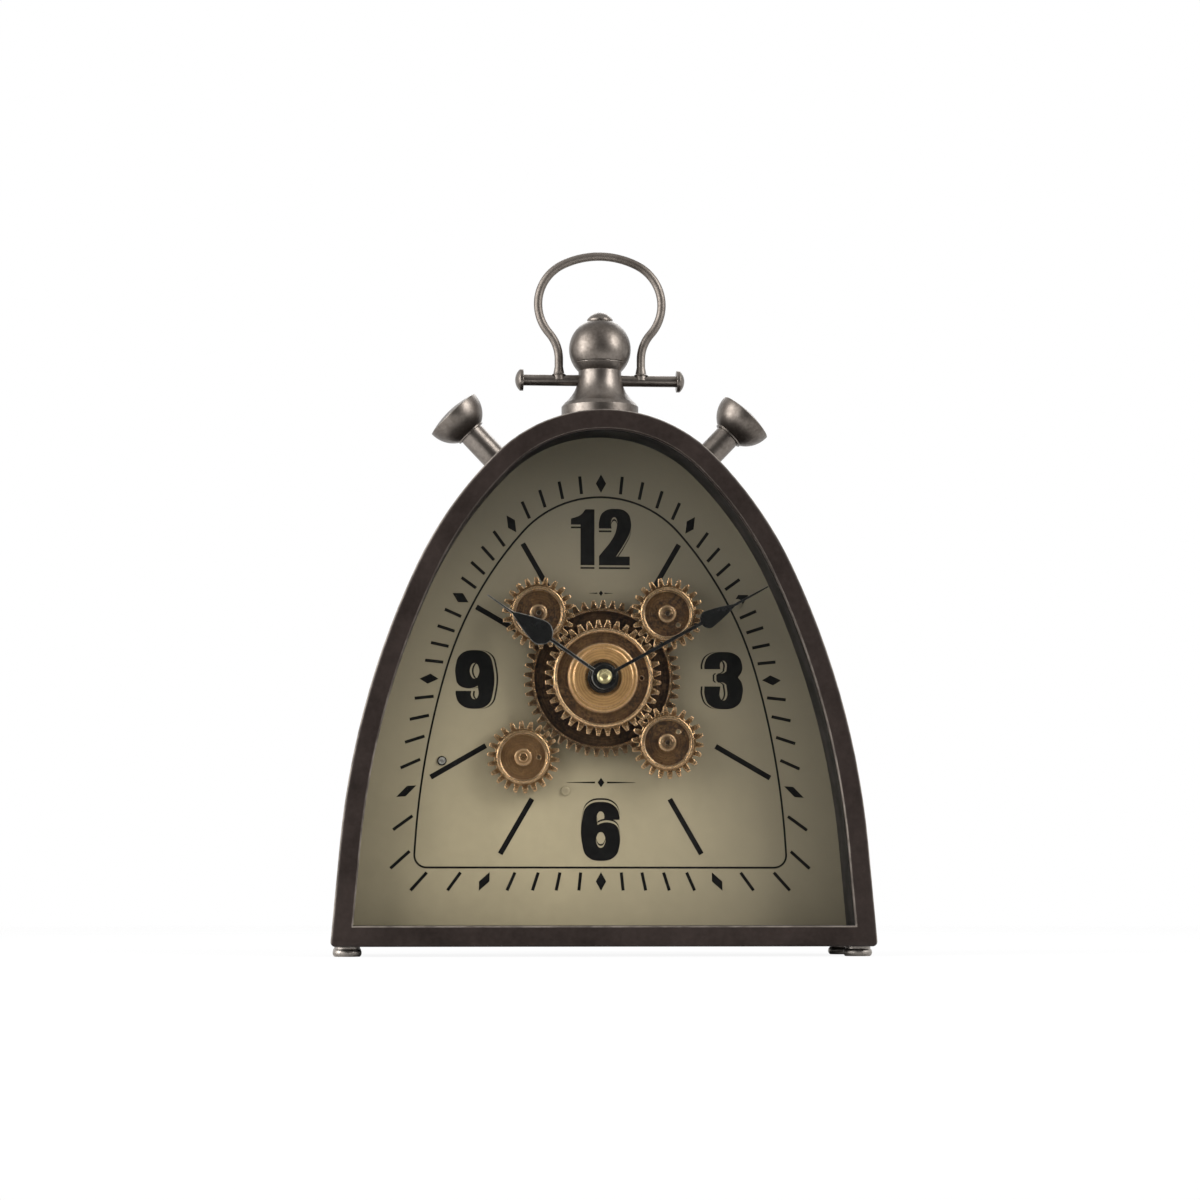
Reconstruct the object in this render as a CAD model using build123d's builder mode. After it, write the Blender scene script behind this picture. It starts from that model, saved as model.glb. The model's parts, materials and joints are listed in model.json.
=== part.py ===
from build123d import *
import os
from math import acos, asin, atan2, cos, degrees, pi, radians, sin, sqrt, tan

# Case outline: a crown arc, a shoulder arc, a side arc and a straight skirt
case_depth = 96.0
foot_height = 6.0
crown_radius = 94.0
crown_sweep = 45.0
shoulder_radius = 242.0
shoulder_sweep = 20.0
side_radius = 505.0
side_sweep = 20.0
skirt_height = 60.8
corner_radius = 3.0

# Case shell, glass, reveal and dial
band_wall = 1.6
bezel_width = 12.5
bezel_thickness = 4.0
bezel_edge_radius = 2.0
bezel_lip_bevel = 0.7
plug_wall = 2.0
plug_depth = 8.0
glass_thickness = 3.0
sheet = 1.2
dial_depth = 40.0
dial_thickness = 1.5
dial_inset = 3.0
flange_width = 12.0
back_recess = 3.0
window_width = 180.0
window_height = 116.0
window_drop = 23.5
window_corner = 10.0
edge_screw_inset = 7.2
edge_screw_angles = (20.0, 58.0, 78.0)
edge_screw_share = 0.64
stay_offset = 85.0
stay_margin = 13.0
stay_radius = 4.0
stay_thread = 6.0

# Fits
press_gap = 0.02
running_gap = 0.05
loose_gap = 0.2

# Feet and small screws
foot_radius = 8.75
foot_edge = 1.2
foot_waist = 1.0
foot_side_margin = 10.25
foot_front_margin = 1.1
screw_radius = 1.5
screw_head_radius = 2.9
screw_head_height = 1.4
face_screw_reach = 5.0
back_screw_tip = 1.0

# Finial, bow handle and pushers
top_clearance = 2.0
pivot_height = 14.3
pivot_radius = 3.5
pivot_inner_end = 5.5
pivot_outer_end = 48.0
pivot_cap_radius = 6.75
pivot_cap_length = 5.0
pivot_spigot_radius = 2.2
pivot_spigot_length = 2.5
bow_wire_radius = 2.65
bow_leg_offset = 25.7
bow_half_width = 38.75
bow_shoulder_height = 48.2
bow_crown_radius = 52.6
bow_shoulder_radius = 28.0
bow_reverse_radius = 25.0
weld_radius = 4.3
weld_height = 5.0
ball_radius = 19.3
ball_seam_height = 10.3
ball_seam_bevel = 0.5
finial_cap_radius = 8.0
finial_cap_height = 5.8
finial_cap_edge = 1.2
neck_radius = 13.4
neck_height = 17.8
neck_length = 2.33
flare_radius = 22.0
flare_height = 10.2
pedestal_radius = 24.0
pedestal_lip = 2.5
pedestal_sink = 8.0
stud_radius = 3.0
nut_radius = 6.0
nut_height = 5.0
stud_tip = 2.0
pusher_angle = 43.5
pusher_stem_radius = 8.0
pusher_rim_radius = 18.25
pusher_rim_height = 39.0
pusher_dome = 3.0
pusher_bead = 1.6
pusher_spigot_radius = 3.5
pusher_sink = 2.0
pusher_tip = 1.5

# Gear train
axis_height = 169.5
module = 1.93
idler_teeth = 22
front_teeth = 36
big_teeth = 49
pressure_angle = 20.0
addendum = 1.0
dedendum = 3.6
backlash = 0.7
root_flare = 1.22
root_margin = 0.2
idler_turns = (135.0, 45.0, -45.0)
drive_turn = 225.0
front_phase = 95.0
front_plane_share = 0.5625
gear_face = 4.5
rim_rise = 1.1
rim_width = 1.7
dish_depth = 1.6
big_plane_share = 0.735
big_face = 5.0
big_dish_depth = 2.6
front_rim_inset = 0.94
front_boss_radius = 21.3
front_step_radius = 18.4
front_step_rise = 0.9
front_hole_radius = 11.0
idler_rim_inset = 1.43
idler_hub_radius = 5.0
big_web_inset = 1.68
big_phase_lead = 1.7
dimple_radius = 1.3
front_dimple_gap = 2.6
idler_dimple_shift = 1.0
sleeve_radius = 9.4
sleeve_stand = 1.8
sleeve_tail = 1.0
collar_radius = 13.0
collar_height = 2.2
post_radius = 7.0
post_tip_radius = 5.5
post_reach = 3.7
post_seat = 0.5
washer_radius = 8.5
washer_set_back = 0.4
journal_radius = 2.5
idler_post_radius = 4.5
idler_post_tail = 3.0
idler_post_socket = 4.0
post_nut_radius = 3.5
post_nut_height = 2.4
eyelet_radius = 3.6
eyelet_rise = 0.9
eyelet_depth = 3.5

# Movement, hands and gear drive
movement_side = 56.0
movement_floor = 1.5
movement_edge = 1.2
movement_tray_margin = 2.3
box_corner = 4.0
bush_radius = 4.0
bush_front_share = 0.8625
bush_tail = 6.5
hour_pipe_radius = 2.5
arbor_radius = 1.6
pipe_seat = 1.0
arbor_seat = 0.5
hour_hand_share = 0.41
minute_hand_share = 0.3225
hand_sheet = 0.8
hub_radius = 7.5
hub_depth = 1.5
hub_step = 1.0
hour_angle = 305.0
minute_angle = 61.0
hour_length = 87.0
hour_leaf_start = 39.5
hour_leaf_end = 68.0
hour_leaf_half = 7.6
minute_length = 115.0
minute_leaf_start = 68.0
minute_leaf_end = 91.0
minute_leaf_half = 5.5
stem_half = 1.05
tip_half = 0.4
nut_cap_radius = 4.6
nut_cap_length = 2.6
nut_cap_edge = 0.9
knob_radius = 6.5
knob_length = 5.0
knob_offset = 13.0
knob_stand = 0.4
knob_tail = 5.4
knob_socket = 6.0
flute_radius = 1.2
flute_stand = 0.5
cell_radius = 7.25
cell_length = 50.0
cell_contact = 1.4
cell_end_gap = 1.0
cell_side_gap = 0.6
drive_box_width = 88.0
drive_box_height = 38.0
drive_floor = 7.5
drive_edge = 1.5
drive_reach = 55.5
drive_rise = 10.0
drive_cell_margin = 6.0
drive_cell_drop = 6.0
drive_screw_margin = 6.0
drive_screw_drop = 2.0
drive_screw_lift = 7.5
drive_screw_socket = 5.5
drive_shaft_socket = 9.0
drive_shaft_tail = 8.0

os.makedirs("parts", exist_ok=True)


def front_plane(depth, x=0.0, z=0.0, turn=0.0):
    # Looks at the clock's front: local x to the right, local y up, extrusions grow to the front
    direction = (cos(radians(turn)), 0, sin(radians(turn)))
    return Plane(origin=(x, depth - case_depth / 2, z), x_dir=direction, z_dir=(0, -1, 0))


def bottom_fall(inset):
    # Height from the apex of the outline to the lower end of its side arc
    steps = [0, crown_sweep, crown_sweep + shoulder_sweep, crown_sweep + shoulder_sweep + side_sweep]
    cosines = [cos(radians(step)) for step in steps]
    radii = (crown_radius, shoulder_radius, side_radius)
    return sum((r - inset) * (cosines[i] - cosines[i + 1]) for i, r in enumerate(radii))


arch_top = foot_height + bottom_fall(0) + skirt_height
skirt_angle = crown_sweep + shoulder_sweep + side_sweep

# Depths behind the clock's front, taken from the dial's depth
front_plane_depth = dial_depth * front_plane_share
big_plane_depth = dial_depth * big_plane_share
post_front_depth = front_plane_depth - post_reach
hour_hand_depth = dial_depth * hour_hand_share
minute_hand_depth = dial_depth * minute_hand_share
bush_front_depth = dial_depth * bush_front_share
bush_rear_depth = dial_depth + bush_tail
movement_thickness = 2 * cell_radius + movement_floor
drive_box_thickness = 2 * cell_radius + drive_floor

# Levels of the finial, stacked on the crown, and the fore-and-aft place of what stands on top
flare_level = arch_top + flare_height
neck_level = flare_level + neck_height
neck_join = neck_level + neck_length
ball_level = neck_join + sqrt(ball_radius**2 - neck_radius**2)
seam_level = ball_level - ball_radius + ball_seam_height
pivot_level = flare_level + pivot_height
top_y = dial_depth + nut_radius + top_clearance - case_depth / 2
top_plane = Plane(origin=(0, top_y, 0), x_dir=(1, 0, 0), z_dir=(0, -1, 0))
top_axis = Axis((0, top_y, 0), (0, 0, 1))


def arch(inset):
    # Front outline of the case as a face, drawn in evenly by the inset
    base = foot_height + inset
    with BuildSketch(mode=Mode.PRIVATE) as outline:
        with BuildLine():
            crown = JernArc((0, arch_top - inset), (1, 0), crown_radius - inset, -crown_sweep)
            shoulder = JernArc(crown @ 1, crown % 1, shoulder_radius - inset, -shoulder_sweep)
            side = JernArc(shoulder @ 1, shoulder % 1, side_radius - inset, -side_sweep)
            fall = (side @ 1).Y - base
            heel = ((side @ 1).X + fall / tan(radians(skirt_angle)), base)
            Line(side @ 1, heel)
            mirror(about=Plane.YZ)
            Line(heel, (-heel[0], base))
        make_face()
        if inset < corner_radius:
            fillet(outline.vertices().group_by(Axis.Y)[0], corner_radius - inset)
    return outline.sketch


def arch_point(angle, inset):
    # Point of the outline whose outward normal leans by the angle from straight up
    lean = abs(angle)
    x = 0.0
    z = arch_top - inset
    begun = 0.0
    for radius, sweep in zip(
        (crown_radius, shoulder_radius, side_radius),
        (crown_sweep, shoulder_sweep, side_sweep),
    ):
        ended = min(lean, begun + sweep)
        x += (radius - inset) * (sin(radians(ended)) - sin(radians(begun)))
        z -= (radius - inset) * (cos(radians(begun)) - cos(radians(ended)))
        begun = ended
    return (x if angle >= 0 else -x, z)


def level_plane(level):
    # Level plane under the finial's axis
    return Plane(origin=(0, top_y, level))


def dome(radius, base, rise):
    # Rim, middle and apex of a spherical cap's profile
    sphere = (radius**2 + rise**2) / (2 * rise)
    lean = asin(radius / sphere) / 2
    return (radius, base), (sphere * sin(lean), base + rise - sphere + sphere * cos(lean)), (0, base + rise)


def save(part, name):
    part.label = name
    export_step(part, f"parts/{name}.step")


outline_face = arch(0)
glass_inset = band_wall + loose_gap + plug_wall + loose_gap
panel_depth = case_depth - back_recess
heel_x = arch_point(skirt_angle, 0)[0] + skirt_height / tan(radians(skirt_angle))
edge_spots = [arch_point(side * angle, edge_screw_inset) for side in (-1, 1) for angle in edge_screw_angles]
edge_spots += [(side * heel_x * edge_screw_share, foot_height + edge_screw_inset) for side in (-1, 1)]
foot_offset_x = heel_x - foot_side_margin
foot_offset_y = case_depth / 2 - bezel_thickness - plug_depth - screw_head_radius - foot_front_margin
foot_spots = [(x, y) for x in (-foot_offset_x, foot_offset_x) for y in (-foot_offset_y, foot_offset_y)]


def pusher_plane(side, along=0.0):
    # Plane square to a pusher's axis, the given way out from the case skin
    spot = arch_point(pusher_angle, 0)
    lean = (side * sin(radians(pusher_angle)), 0, cos(radians(pusher_angle)))
    origin = (side * spot[0] + lean[0] * along, top_y, spot[1] + lean[2] * along)
    return Plane(origin=origin, x_dir=(0, 1, 0), z_dir=lean)


# Gear centres and phases
idler_distance = module * (front_teeth + idler_teeth) / 2
drive_distance = module * (big_teeth + idler_teeth) / 2
front_rim_radius = module * front_teeth / 2 - dedendum - front_rim_inset
idler_rim_radius = module * idler_teeth / 2 - dedendum - idler_rim_inset
big_web_radius = module * big_teeth / 2 - dedendum - big_web_inset


def gear_centre(distance, turn):
    return (distance * cos(radians(turn)), axis_height + distance * sin(radians(turn)))


def mesh_phase(phase, teeth, turn, own_teeth):
    # Phase that puts a gap of the follower opposite a tooth of the driver
    return turn + 180 - (phase - turn) * teeth / own_teeth + 180 / own_teeth


def involute(angle):
    return tan(angle) - angle


def gear_outline(teeth, phase):
    # Tooth corners at root, base and tip circles, the flanks following the involute
    pitch = module * teeth / 2
    base = pitch * cos(radians(pressure_angle))
    half_pitch = (pi * module - backlash) / (4 * pitch)
    half_base = half_pitch + involute(radians(pressure_angle))
    tip = pitch + addendum
    half_tip = half_base - involute(acos(base / tip))
    root = min(pitch - dedendum, base - root_margin)
    flank = [(root, -half_base * root_flare), (base, -half_base), (tip, -half_tip)]
    flank += [(radius, -angle) for radius, angle in reversed(flank)]
    corners = []
    for tooth in range(teeth):
        middle = radians(phase) + 2 * pi * tooth / teeth
        corners += [(radius * cos(middle + angle), radius * sin(middle + angle)) for radius, angle in flank]
    return corners


# Front bezel: face ring with a rounded edge and a plug that enters the band
with BuildPart() as front_bezel:
    with BuildSketch(front_plane(bezel_thickness)):
        add(outline_face)
        add(arch(bezel_width), mode=Mode.SUBTRACT)
    extrude(amount=bezel_thickness)
    with BuildSketch(front_plane(bezel_thickness + plug_depth)):
        add(arch(band_wall + loose_gap))
        add(arch(band_wall + loose_gap + plug_wall), mode=Mode.SUBTRACT)
    extrude(amount=plug_depth)
    front_face = front_bezel.faces().sort_by(Axis.Y)[0]
    fillet(front_face.outer_wire().edges(), bezel_edge_radius)
    front_face = front_bezel.faces().sort_by(Axis.Y)[0]
    chamfer(front_face.inner_wires()[0].edges(), bezel_lip_bevel)
save(front_bezel.part, "front_bezel")

# Case band: sheet rolled to the arch, with holes for the stud and the pushers
seam_height = foot_height + corner_radius
with BuildPart() as case_band:
    with BuildSketch(front_plane(case_depth)):
        add(outline_face)
        add(arch(band_wall), mode=Mode.SUBTRACT)
        with Locations((0, seam_height)):
            Rectangle(4 * heel_x, 2 * corner_radius, align=(Align.CENTER, Align.MAX), mode=Mode.SUBTRACT)
    extrude(amount=case_depth - bezel_thickness)
    with BuildSketch(level_plane(arch_top + band_wall)):
        Circle(stud_radius + loose_gap)
    extrude(amount=-4 * band_wall, mode=Mode.SUBTRACT)
    for side in (-1, 1):
        with BuildSketch(pusher_plane(side, band_wall)):
            Circle(pusher_spigot_radius + loose_gap)
        extrude(amount=-4 * band_wall, mode=Mode.SUBTRACT)
save(case_band.part, "case_band")

# Case base: the closing plate with turned-up edges that the band is welded on
with BuildPart() as case_base:
    with BuildSketch(front_plane(case_depth)):
        add(outline_face)
        add(arch(band_wall), mode=Mode.SUBTRACT)
        with Locations((0, seam_height)):
            Rectangle(4 * heel_x, 2 * corner_radius, align=(Align.CENTER, Align.MAX), mode=Mode.INTERSECT)
    extrude(amount=case_depth - bezel_thickness)
    with BuildSketch(Plane.XY.offset(foot_height - band_wall)):
        with Locations(foot_spots):
            Circle(screw_radius + loose_gap)
    extrude(amount=3 * band_wall, mode=Mode.SUBTRACT)
save(case_base.part, "case_base")

# Rear flange: ring spot-welded inside band and base, the back panel is screwed on it
with BuildPart() as rear_flange:
    with BuildSketch(front_plane(panel_depth)):
        add(arch(band_wall + press_gap))
        add(arch(flange_width), mode=Mode.SUBTRACT)
        with Locations(edge_spots):
            Circle(screw_radius + loose_gap, mode=Mode.SUBTRACT)
    extrude(amount=band_wall)
save(rear_flange.part, "rear_flange")

# Front glass
with BuildPart() as front_glass:
    with BuildSketch(front_plane(bezel_thickness + glass_thickness)):
        add(arch(glass_inset))
    extrude(amount=glass_thickness)
save(front_glass.part, "front_glass")

# Reveal sleeve: the dark wall between glass and dial, flanged at both ends
with BuildPart() as reveal_sleeve:
    with BuildSketch(front_plane(dial_depth)):
        add(arch(bezel_width - sheet))
        add(arch(bezel_width), mode=Mode.SUBTRACT)
    extrude(amount=dial_depth - bezel_thickness - glass_thickness)
    with BuildSketch(front_plane(bezel_thickness + glass_thickness + sheet)):
        add(arch(glass_inset))
        add(arch(bezel_width), mode=Mode.SUBTRACT)
    extrude(amount=sheet)
    with BuildSketch(front_plane(dial_depth)):
        add(arch(band_wall + loose_gap))
        add(arch(bezel_width), mode=Mode.SUBTRACT)
        with Locations(edge_spots):
            Circle(screw_radius + press_gap, mode=Mode.SUBTRACT)
    extrude(amount=sheet)
save(reveal_sleeve.part, "reveal_sleeve")

# Dial plate with holes for the movement bush, the posts, the drive shaft and the screws
drive_spot = gear_centre(drive_distance, drive_turn)
idler_spots = [gear_centre(idler_distance, turn) for turn in idler_turns]
box_left = drive_spot[0] - drive_reach
box_top = drive_spot[1] + drive_rise
drive_screw_spots = [
    (box_left + drive_screw_margin, drive_spot[1] - drive_screw_drop),
    (box_left + drive_box_width - drive_screw_margin, box_top - drive_box_height + drive_screw_lift),
]
window_centre = axis_height - window_drop
stay_spot = (stay_offset, window_centre + window_height / 2 + stay_margin)
with BuildPart() as dial_plate:
    with BuildSketch(front_plane(dial_depth + dial_thickness)):
        add(arch(dial_inset))
        with Locations((0, axis_height)):
            Circle(bush_radius + loose_gap, mode=Mode.SUBTRACT)
        with Locations(drive_spot):
            Circle(journal_radius + 2 * loose_gap, mode=Mode.SUBTRACT)
        with Locations(*idler_spots, *drive_screw_spots, stay_spot, *edge_spots):
            Circle(screw_radius + loose_gap, mode=Mode.SUBTRACT)
    extrude(amount=dial_thickness)
save(dial_plate.part, "dial_plate")

# Round-head screws that hold the dial's edge, put in from behind
with BuildPart() as dial_edge_screws:
    with BuildSketch(front_plane(dial_depth + dial_thickness + screw_head_height)):
        with Locations(edge_spots):
            Circle(screw_head_radius)
    extrude(amount=screw_head_height)
    with BuildSketch(front_plane(dial_depth + dial_thickness)):
        with Locations(edge_spots):
            Circle(screw_radius)
    extrude(amount=dial_thickness + sheet + loose_gap)
save(dial_edge_screws.part, "dial_edge_screws")

# Screws seen on the dial's face: two hold the gear drive, one the stay
with BuildPart() as dial_face_screws:
    with BuildSketch(front_plane(dial_depth)):
        with Locations(*drive_screw_spots, stay_spot):
            Circle(screw_head_radius)
    extrude(amount=screw_head_height, taper=12)
    with BuildSketch(front_plane(dial_depth)):
        with Locations(*drive_screw_spots, stay_spot):
            Circle(screw_radius)
    extrude(amount=-(dial_thickness + face_screw_reach))
save(dial_face_screws.part, "dial_face_screws")

# Stay between dial and back panel
with BuildPart() as dial_stay:
    with BuildSketch(front_plane(panel_depth, *stay_spot)):
        Circle(stay_radius)
    extrude(amount=panel_depth - dial_depth - dial_thickness)
    for depth, way in ((panel_depth, 1), (dial_depth + dial_thickness, -1)):
        with BuildSketch(front_plane(depth, *stay_spot)):
            Circle(screw_radius + press_gap)
        extrude(amount=way * stay_thread, mode=Mode.SUBTRACT)
save(dial_stay.part, "dial_stay")

# Back panel with its access window
with BuildPart() as back_panel:
    with BuildSketch(front_plane(panel_depth + sheet)):
        add(arch(band_wall + loose_gap))
        with Locations((0, window_centre)):
            RectangleRounded(window_width, window_height, window_corner, mode=Mode.SUBTRACT)
        with Locations(*edge_spots, stay_spot):
            Circle(screw_radius + loose_gap, mode=Mode.SUBTRACT)
    extrude(amount=sheet)
save(back_panel.part, "back_panel")

# Back panel screws
with BuildPart() as back_screws:
    with BuildSketch(front_plane(panel_depth + sheet + screw_head_height)):
        with Locations(*edge_spots, stay_spot):
            Circle(screw_head_radius)
    extrude(amount=screw_head_height)
    with BuildSketch(front_plane(panel_depth + sheet)):
        with Locations(*edge_spots, stay_spot):
            Circle(screw_radius)
    extrude(amount=sheet + band_wall + back_screw_tip)
save(back_screws.part, "back_screws")

# Feet: turned buttons with a waist under the case
foot_names = ("foot_front_left", "foot_back_left", "foot_front_right", "foot_back_right")
for name, spot in zip(foot_names, foot_spots):
    with BuildPart() as foot:
        with BuildSketch(Plane(origin=(spot[0], spot[1], 0), x_dir=(1, 0, 0), z_dir=(0, -1, 0))):
            with BuildLine():
                waist_radius = foot_radius - foot_waist
                Line((0, 0), (foot_radius - foot_edge, 0))
                bulge = ThreePointArc(
                    (foot_radius - foot_edge, 0), (foot_radius, foot_height * 0.35), (waist_radius, foot_height * 0.75)
                )
                Line(bulge @ 1, (waist_radius, foot_height))
                Line((waist_radius, foot_height), (0, foot_height))
                Line((0, foot_height), (0, 0))
            make_face()
        revolve(axis=Axis((spot[0], spot[1], 0), (0, 0, 1)))
        with BuildSketch(Plane.XY.offset(foot_height)):
            with Locations(spot):
                Circle(screw_radius + press_gap)
        extrude(amount=-foot_height * 0.7, mode=Mode.SUBTRACT)
    save(foot.part, name)

# Foot screws, heads inside the case
with BuildPart() as foot_screws:
    with BuildSketch(Plane.XY.offset(foot_height + band_wall)):
        with Locations(foot_spots):
            Circle(screw_head_radius)
    extrude(amount=screw_head_height)
    with BuildSketch(Plane.XY.offset(foot_height + band_wall)):
        with Locations(foot_spots):
            Circle(screw_radius)
    extrude(amount=-(band_wall + foot_height * 0.65))
save(foot_screws.part, "foot_screws")

# Case body used to shape what sits on its skin
with BuildPart() as case_body:
    with BuildSketch(front_plane(case_depth)):
        add(outline_face)
    extrude(amount=case_depth)

# Finial pedestal: flared foot saddled on the crown, neck with two pivot holes
seam_radius = sqrt(ball_radius**2 - (ball_level - seam_level) ** 2)
pedestal_base = arch_top - pedestal_sink
with BuildPart() as finial_pedestal:
    with BuildSketch(top_plane):
        with BuildLine():
            Line((0, pedestal_base), (pedestal_radius, pedestal_base))
            Line((pedestal_radius, pedestal_base), (pedestal_radius, flare_level - pedestal_lip))
            Line((pedestal_radius, flare_level - pedestal_lip), (flare_radius, flare_level))
            bell = ThreePointArc(
                (flare_radius, flare_level),
                (neck_radius + (flare_radius - neck_radius) * 0.22, flare_level + neck_height * 0.5),
                (neck_radius, neck_level),
            )
            Line(bell @ 1, (neck_radius, neck_join))
            swell = RadiusArc((neck_radius, neck_join), (seam_radius, seam_level), -ball_radius)
            Line(swell @ 1, (0, seam_level))
            Line((0, seam_level), (0, pedestal_base))
        make_face()
    revolve(axis=top_axis)
    add(case_body.part, mode=Mode.SUBTRACT)
    with BuildSketch(level_plane(seam_level)):
        Circle(stud_radius + loose_gap)
    extrude(amount=pedestal_base - seam_level, mode=Mode.SUBTRACT)
    for side in (-1, 1):
        with BuildSketch(Plane(origin=(side * pivot_inner_end, top_y, pivot_level), z_dir=(side, 0, 0))):
            Circle(pivot_radius + running_gap)
        extrude(amount=pedestal_radius, mode=Mode.SUBTRACT)
save(finial_pedestal.part, "finial_pedestal")

# Finial ball: upper part of the sphere, cut flat under its cap
ball_top = ball_level + sqrt(ball_radius**2 - finial_cap_radius**2)
with BuildPart() as finial_ball:
    with BuildSketch(top_plane):
        with BuildLine():
            bevel_level = seam_level + ball_seam_bevel
            bevel_foot = (seam_radius - ball_seam_bevel, seam_level)
            bevel_head = (sqrt(ball_radius**2 - (ball_level - bevel_level) ** 2), bevel_level)
            Line((0, seam_level), bevel_foot)
            Line(bevel_foot, bevel_head)
            ThreePointArc(bevel_head, (ball_radius, ball_level), (finial_cap_radius, ball_top))
            Line((finial_cap_radius, ball_top), (0, ball_top))
            Line((0, ball_top), (0, seam_level))
        make_face()
    revolve(axis=top_axis)
    with BuildSketch(level_plane(seam_level)):
        Circle(stud_radius + loose_gap)
    extrude(amount=ball_top - seam_level, mode=Mode.SUBTRACT)
save(finial_ball.part, "finial_ball")

# Finial cap: a low dome screwed on the stud
with BuildPart() as finial_cap:
    with BuildSketch(top_plane):
        with BuildLine():
            cap_shoulder = ball_top + finial_cap_edge
            Line((0, ball_top), (finial_cap_radius, ball_top))
            Line((finial_cap_radius, ball_top), (finial_cap_radius, cap_shoulder))
            ThreePointArc(*dome(finial_cap_radius, cap_shoulder, finial_cap_height - finial_cap_edge))
            Line((0, ball_top + finial_cap_height), (0, ball_top))
        make_face()
    revolve(axis=top_axis)
    with BuildSketch(level_plane(ball_top)):
        Circle(stud_radius + press_gap)
    extrude(amount=finial_cap_height * 0.55, mode=Mode.SUBTRACT)
save(finial_cap.part, "finial_cap")

# Stud through pedestal and ball, and its nut under the crown
crown_inside = crown_radius - band_wall
nut_seat = arch_top - crown_radius + sqrt(crown_inside**2 - nut_radius**2) - press_gap
stud_bottom = nut_seat - nut_height - stud_tip
with BuildPart() as finial_stud:
    with BuildSketch(level_plane(stud_bottom)):
        Circle(stud_radius)
    extrude(amount=ball_top + finial_cap_height * 0.5 - stud_bottom)
save(finial_stud.part, "finial_stud")

with BuildPart() as finial_nut:
    with BuildSketch(level_plane(nut_seat)):
        RegularPolygon(nut_radius, 6)
        Circle(stud_radius + press_gap, mode=Mode.SUBTRACT)
    extrude(amount=-nut_height)
save(finial_nut.part, "finial_nut")

# Bow handle: one bent wire, its legs welded on the pivots
bow_overhang = bow_half_width - bow_shoulder_radius
bow_rise = bow_crown_radius - sqrt((bow_crown_radius - bow_shoulder_radius) ** 2 - bow_overhang**2)
bow_top = bow_shoulder_height + bow_rise
reach = bow_leg_offset + bow_reverse_radius - bow_overhang
bow_drop = sqrt((bow_reverse_radius + bow_shoulder_radius) ** 2 - reach**2)
crown_turn = degrees(atan2(bow_overhang, bow_crown_radius - bow_rise))
tuck_turn = degrees(asin(bow_drop / (bow_reverse_radius + bow_shoulder_radius)))
with BuildPart() as handle_bow:
    with BuildLine(top_plane) as bow_path:
        top = JernArc((0, pivot_level + bow_top), (1, 0), bow_crown_radius, -crown_turn)
        shoulder = JernArc(top @ 1, top % 1, bow_shoulder_radius, -(90 + tuck_turn - crown_turn))
        tuck = JernArc(shoulder @ 1, shoulder % 1, bow_reverse_radius, tuck_turn)
        Line(tuck @ 1, (bow_leg_offset, pivot_level))
        mirror(about=Plane.YZ)
    with BuildSketch(level_plane(pivot_level)):
        with Locations((bow_leg_offset, 0)):
            Circle(bow_wire_radius)
    sweep(path=bow_path.wires()[0])
    with Locations((-bow_leg_offset, top_y, pivot_level), (bow_leg_offset, top_y, pivot_level)):
        Cone(weld_radius, bow_wire_radius, weld_height + pivot_radius, align=(Align.CENTER, Align.CENTER, Align.MIN))
    with BuildSketch(Plane.YZ.offset(-bow_half_width)):
        with Locations((top_y, pivot_level)):
            Circle(pivot_radius + press_gap)
    extrude(amount=2 * bow_half_width, mode=Mode.SUBTRACT)
save(handle_bow.part, "handle_bow")

# Pivots and their domed end caps
for side, word in ((-1, "left"), (1, "right")):
    with BuildPart() as handle_pivot:
        with BuildSketch(Plane(origin=(side * pivot_inner_end, top_y, pivot_level), z_dir=(side, 0, 0))):
            Circle(pivot_radius)
        extrude(amount=pivot_outer_end - pivot_inner_end)
        with BuildSketch(Plane(origin=(side * pivot_outer_end, top_y, pivot_level), z_dir=(side, 0, 0))):
            Circle(pivot_spigot_radius)
        extrude(amount=pivot_spigot_length)
    save(handle_pivot.part, f"handle_pivot_{word}")
    with BuildPart() as handle_cap:
        end_spot = (side * pivot_outer_end, top_y, pivot_level)
        end_plane = Plane(origin=end_spot, x_dir=(0, 0, 1), z_dir=(side, 0, 0))
        with BuildSketch(Plane(origin=end_plane.origin, x_dir=(0, 0, 1), z_dir=(0, side, 0))):
            with BuildLine():
                edge = pivot_cap_length * 0.4
                Line((0, 0), (pivot_cap_radius, 0))
                Line((pivot_cap_radius, 0), (pivot_cap_radius, edge))
                ThreePointArc(*dome(pivot_cap_radius, edge, pivot_cap_length - edge))
                Line((0, pivot_cap_length), (0, 0))
            make_face()
        revolve(axis=Axis(end_plane.origin, end_plane.z_dir))
        with BuildSketch(end_plane):
            Circle(pivot_spigot_radius + press_gap)
        extrude(amount=pivot_spigot_length + press_gap, mode=Mode.SUBTRACT)
    save(handle_cap.part, f"handle_cap_{word}")

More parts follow.
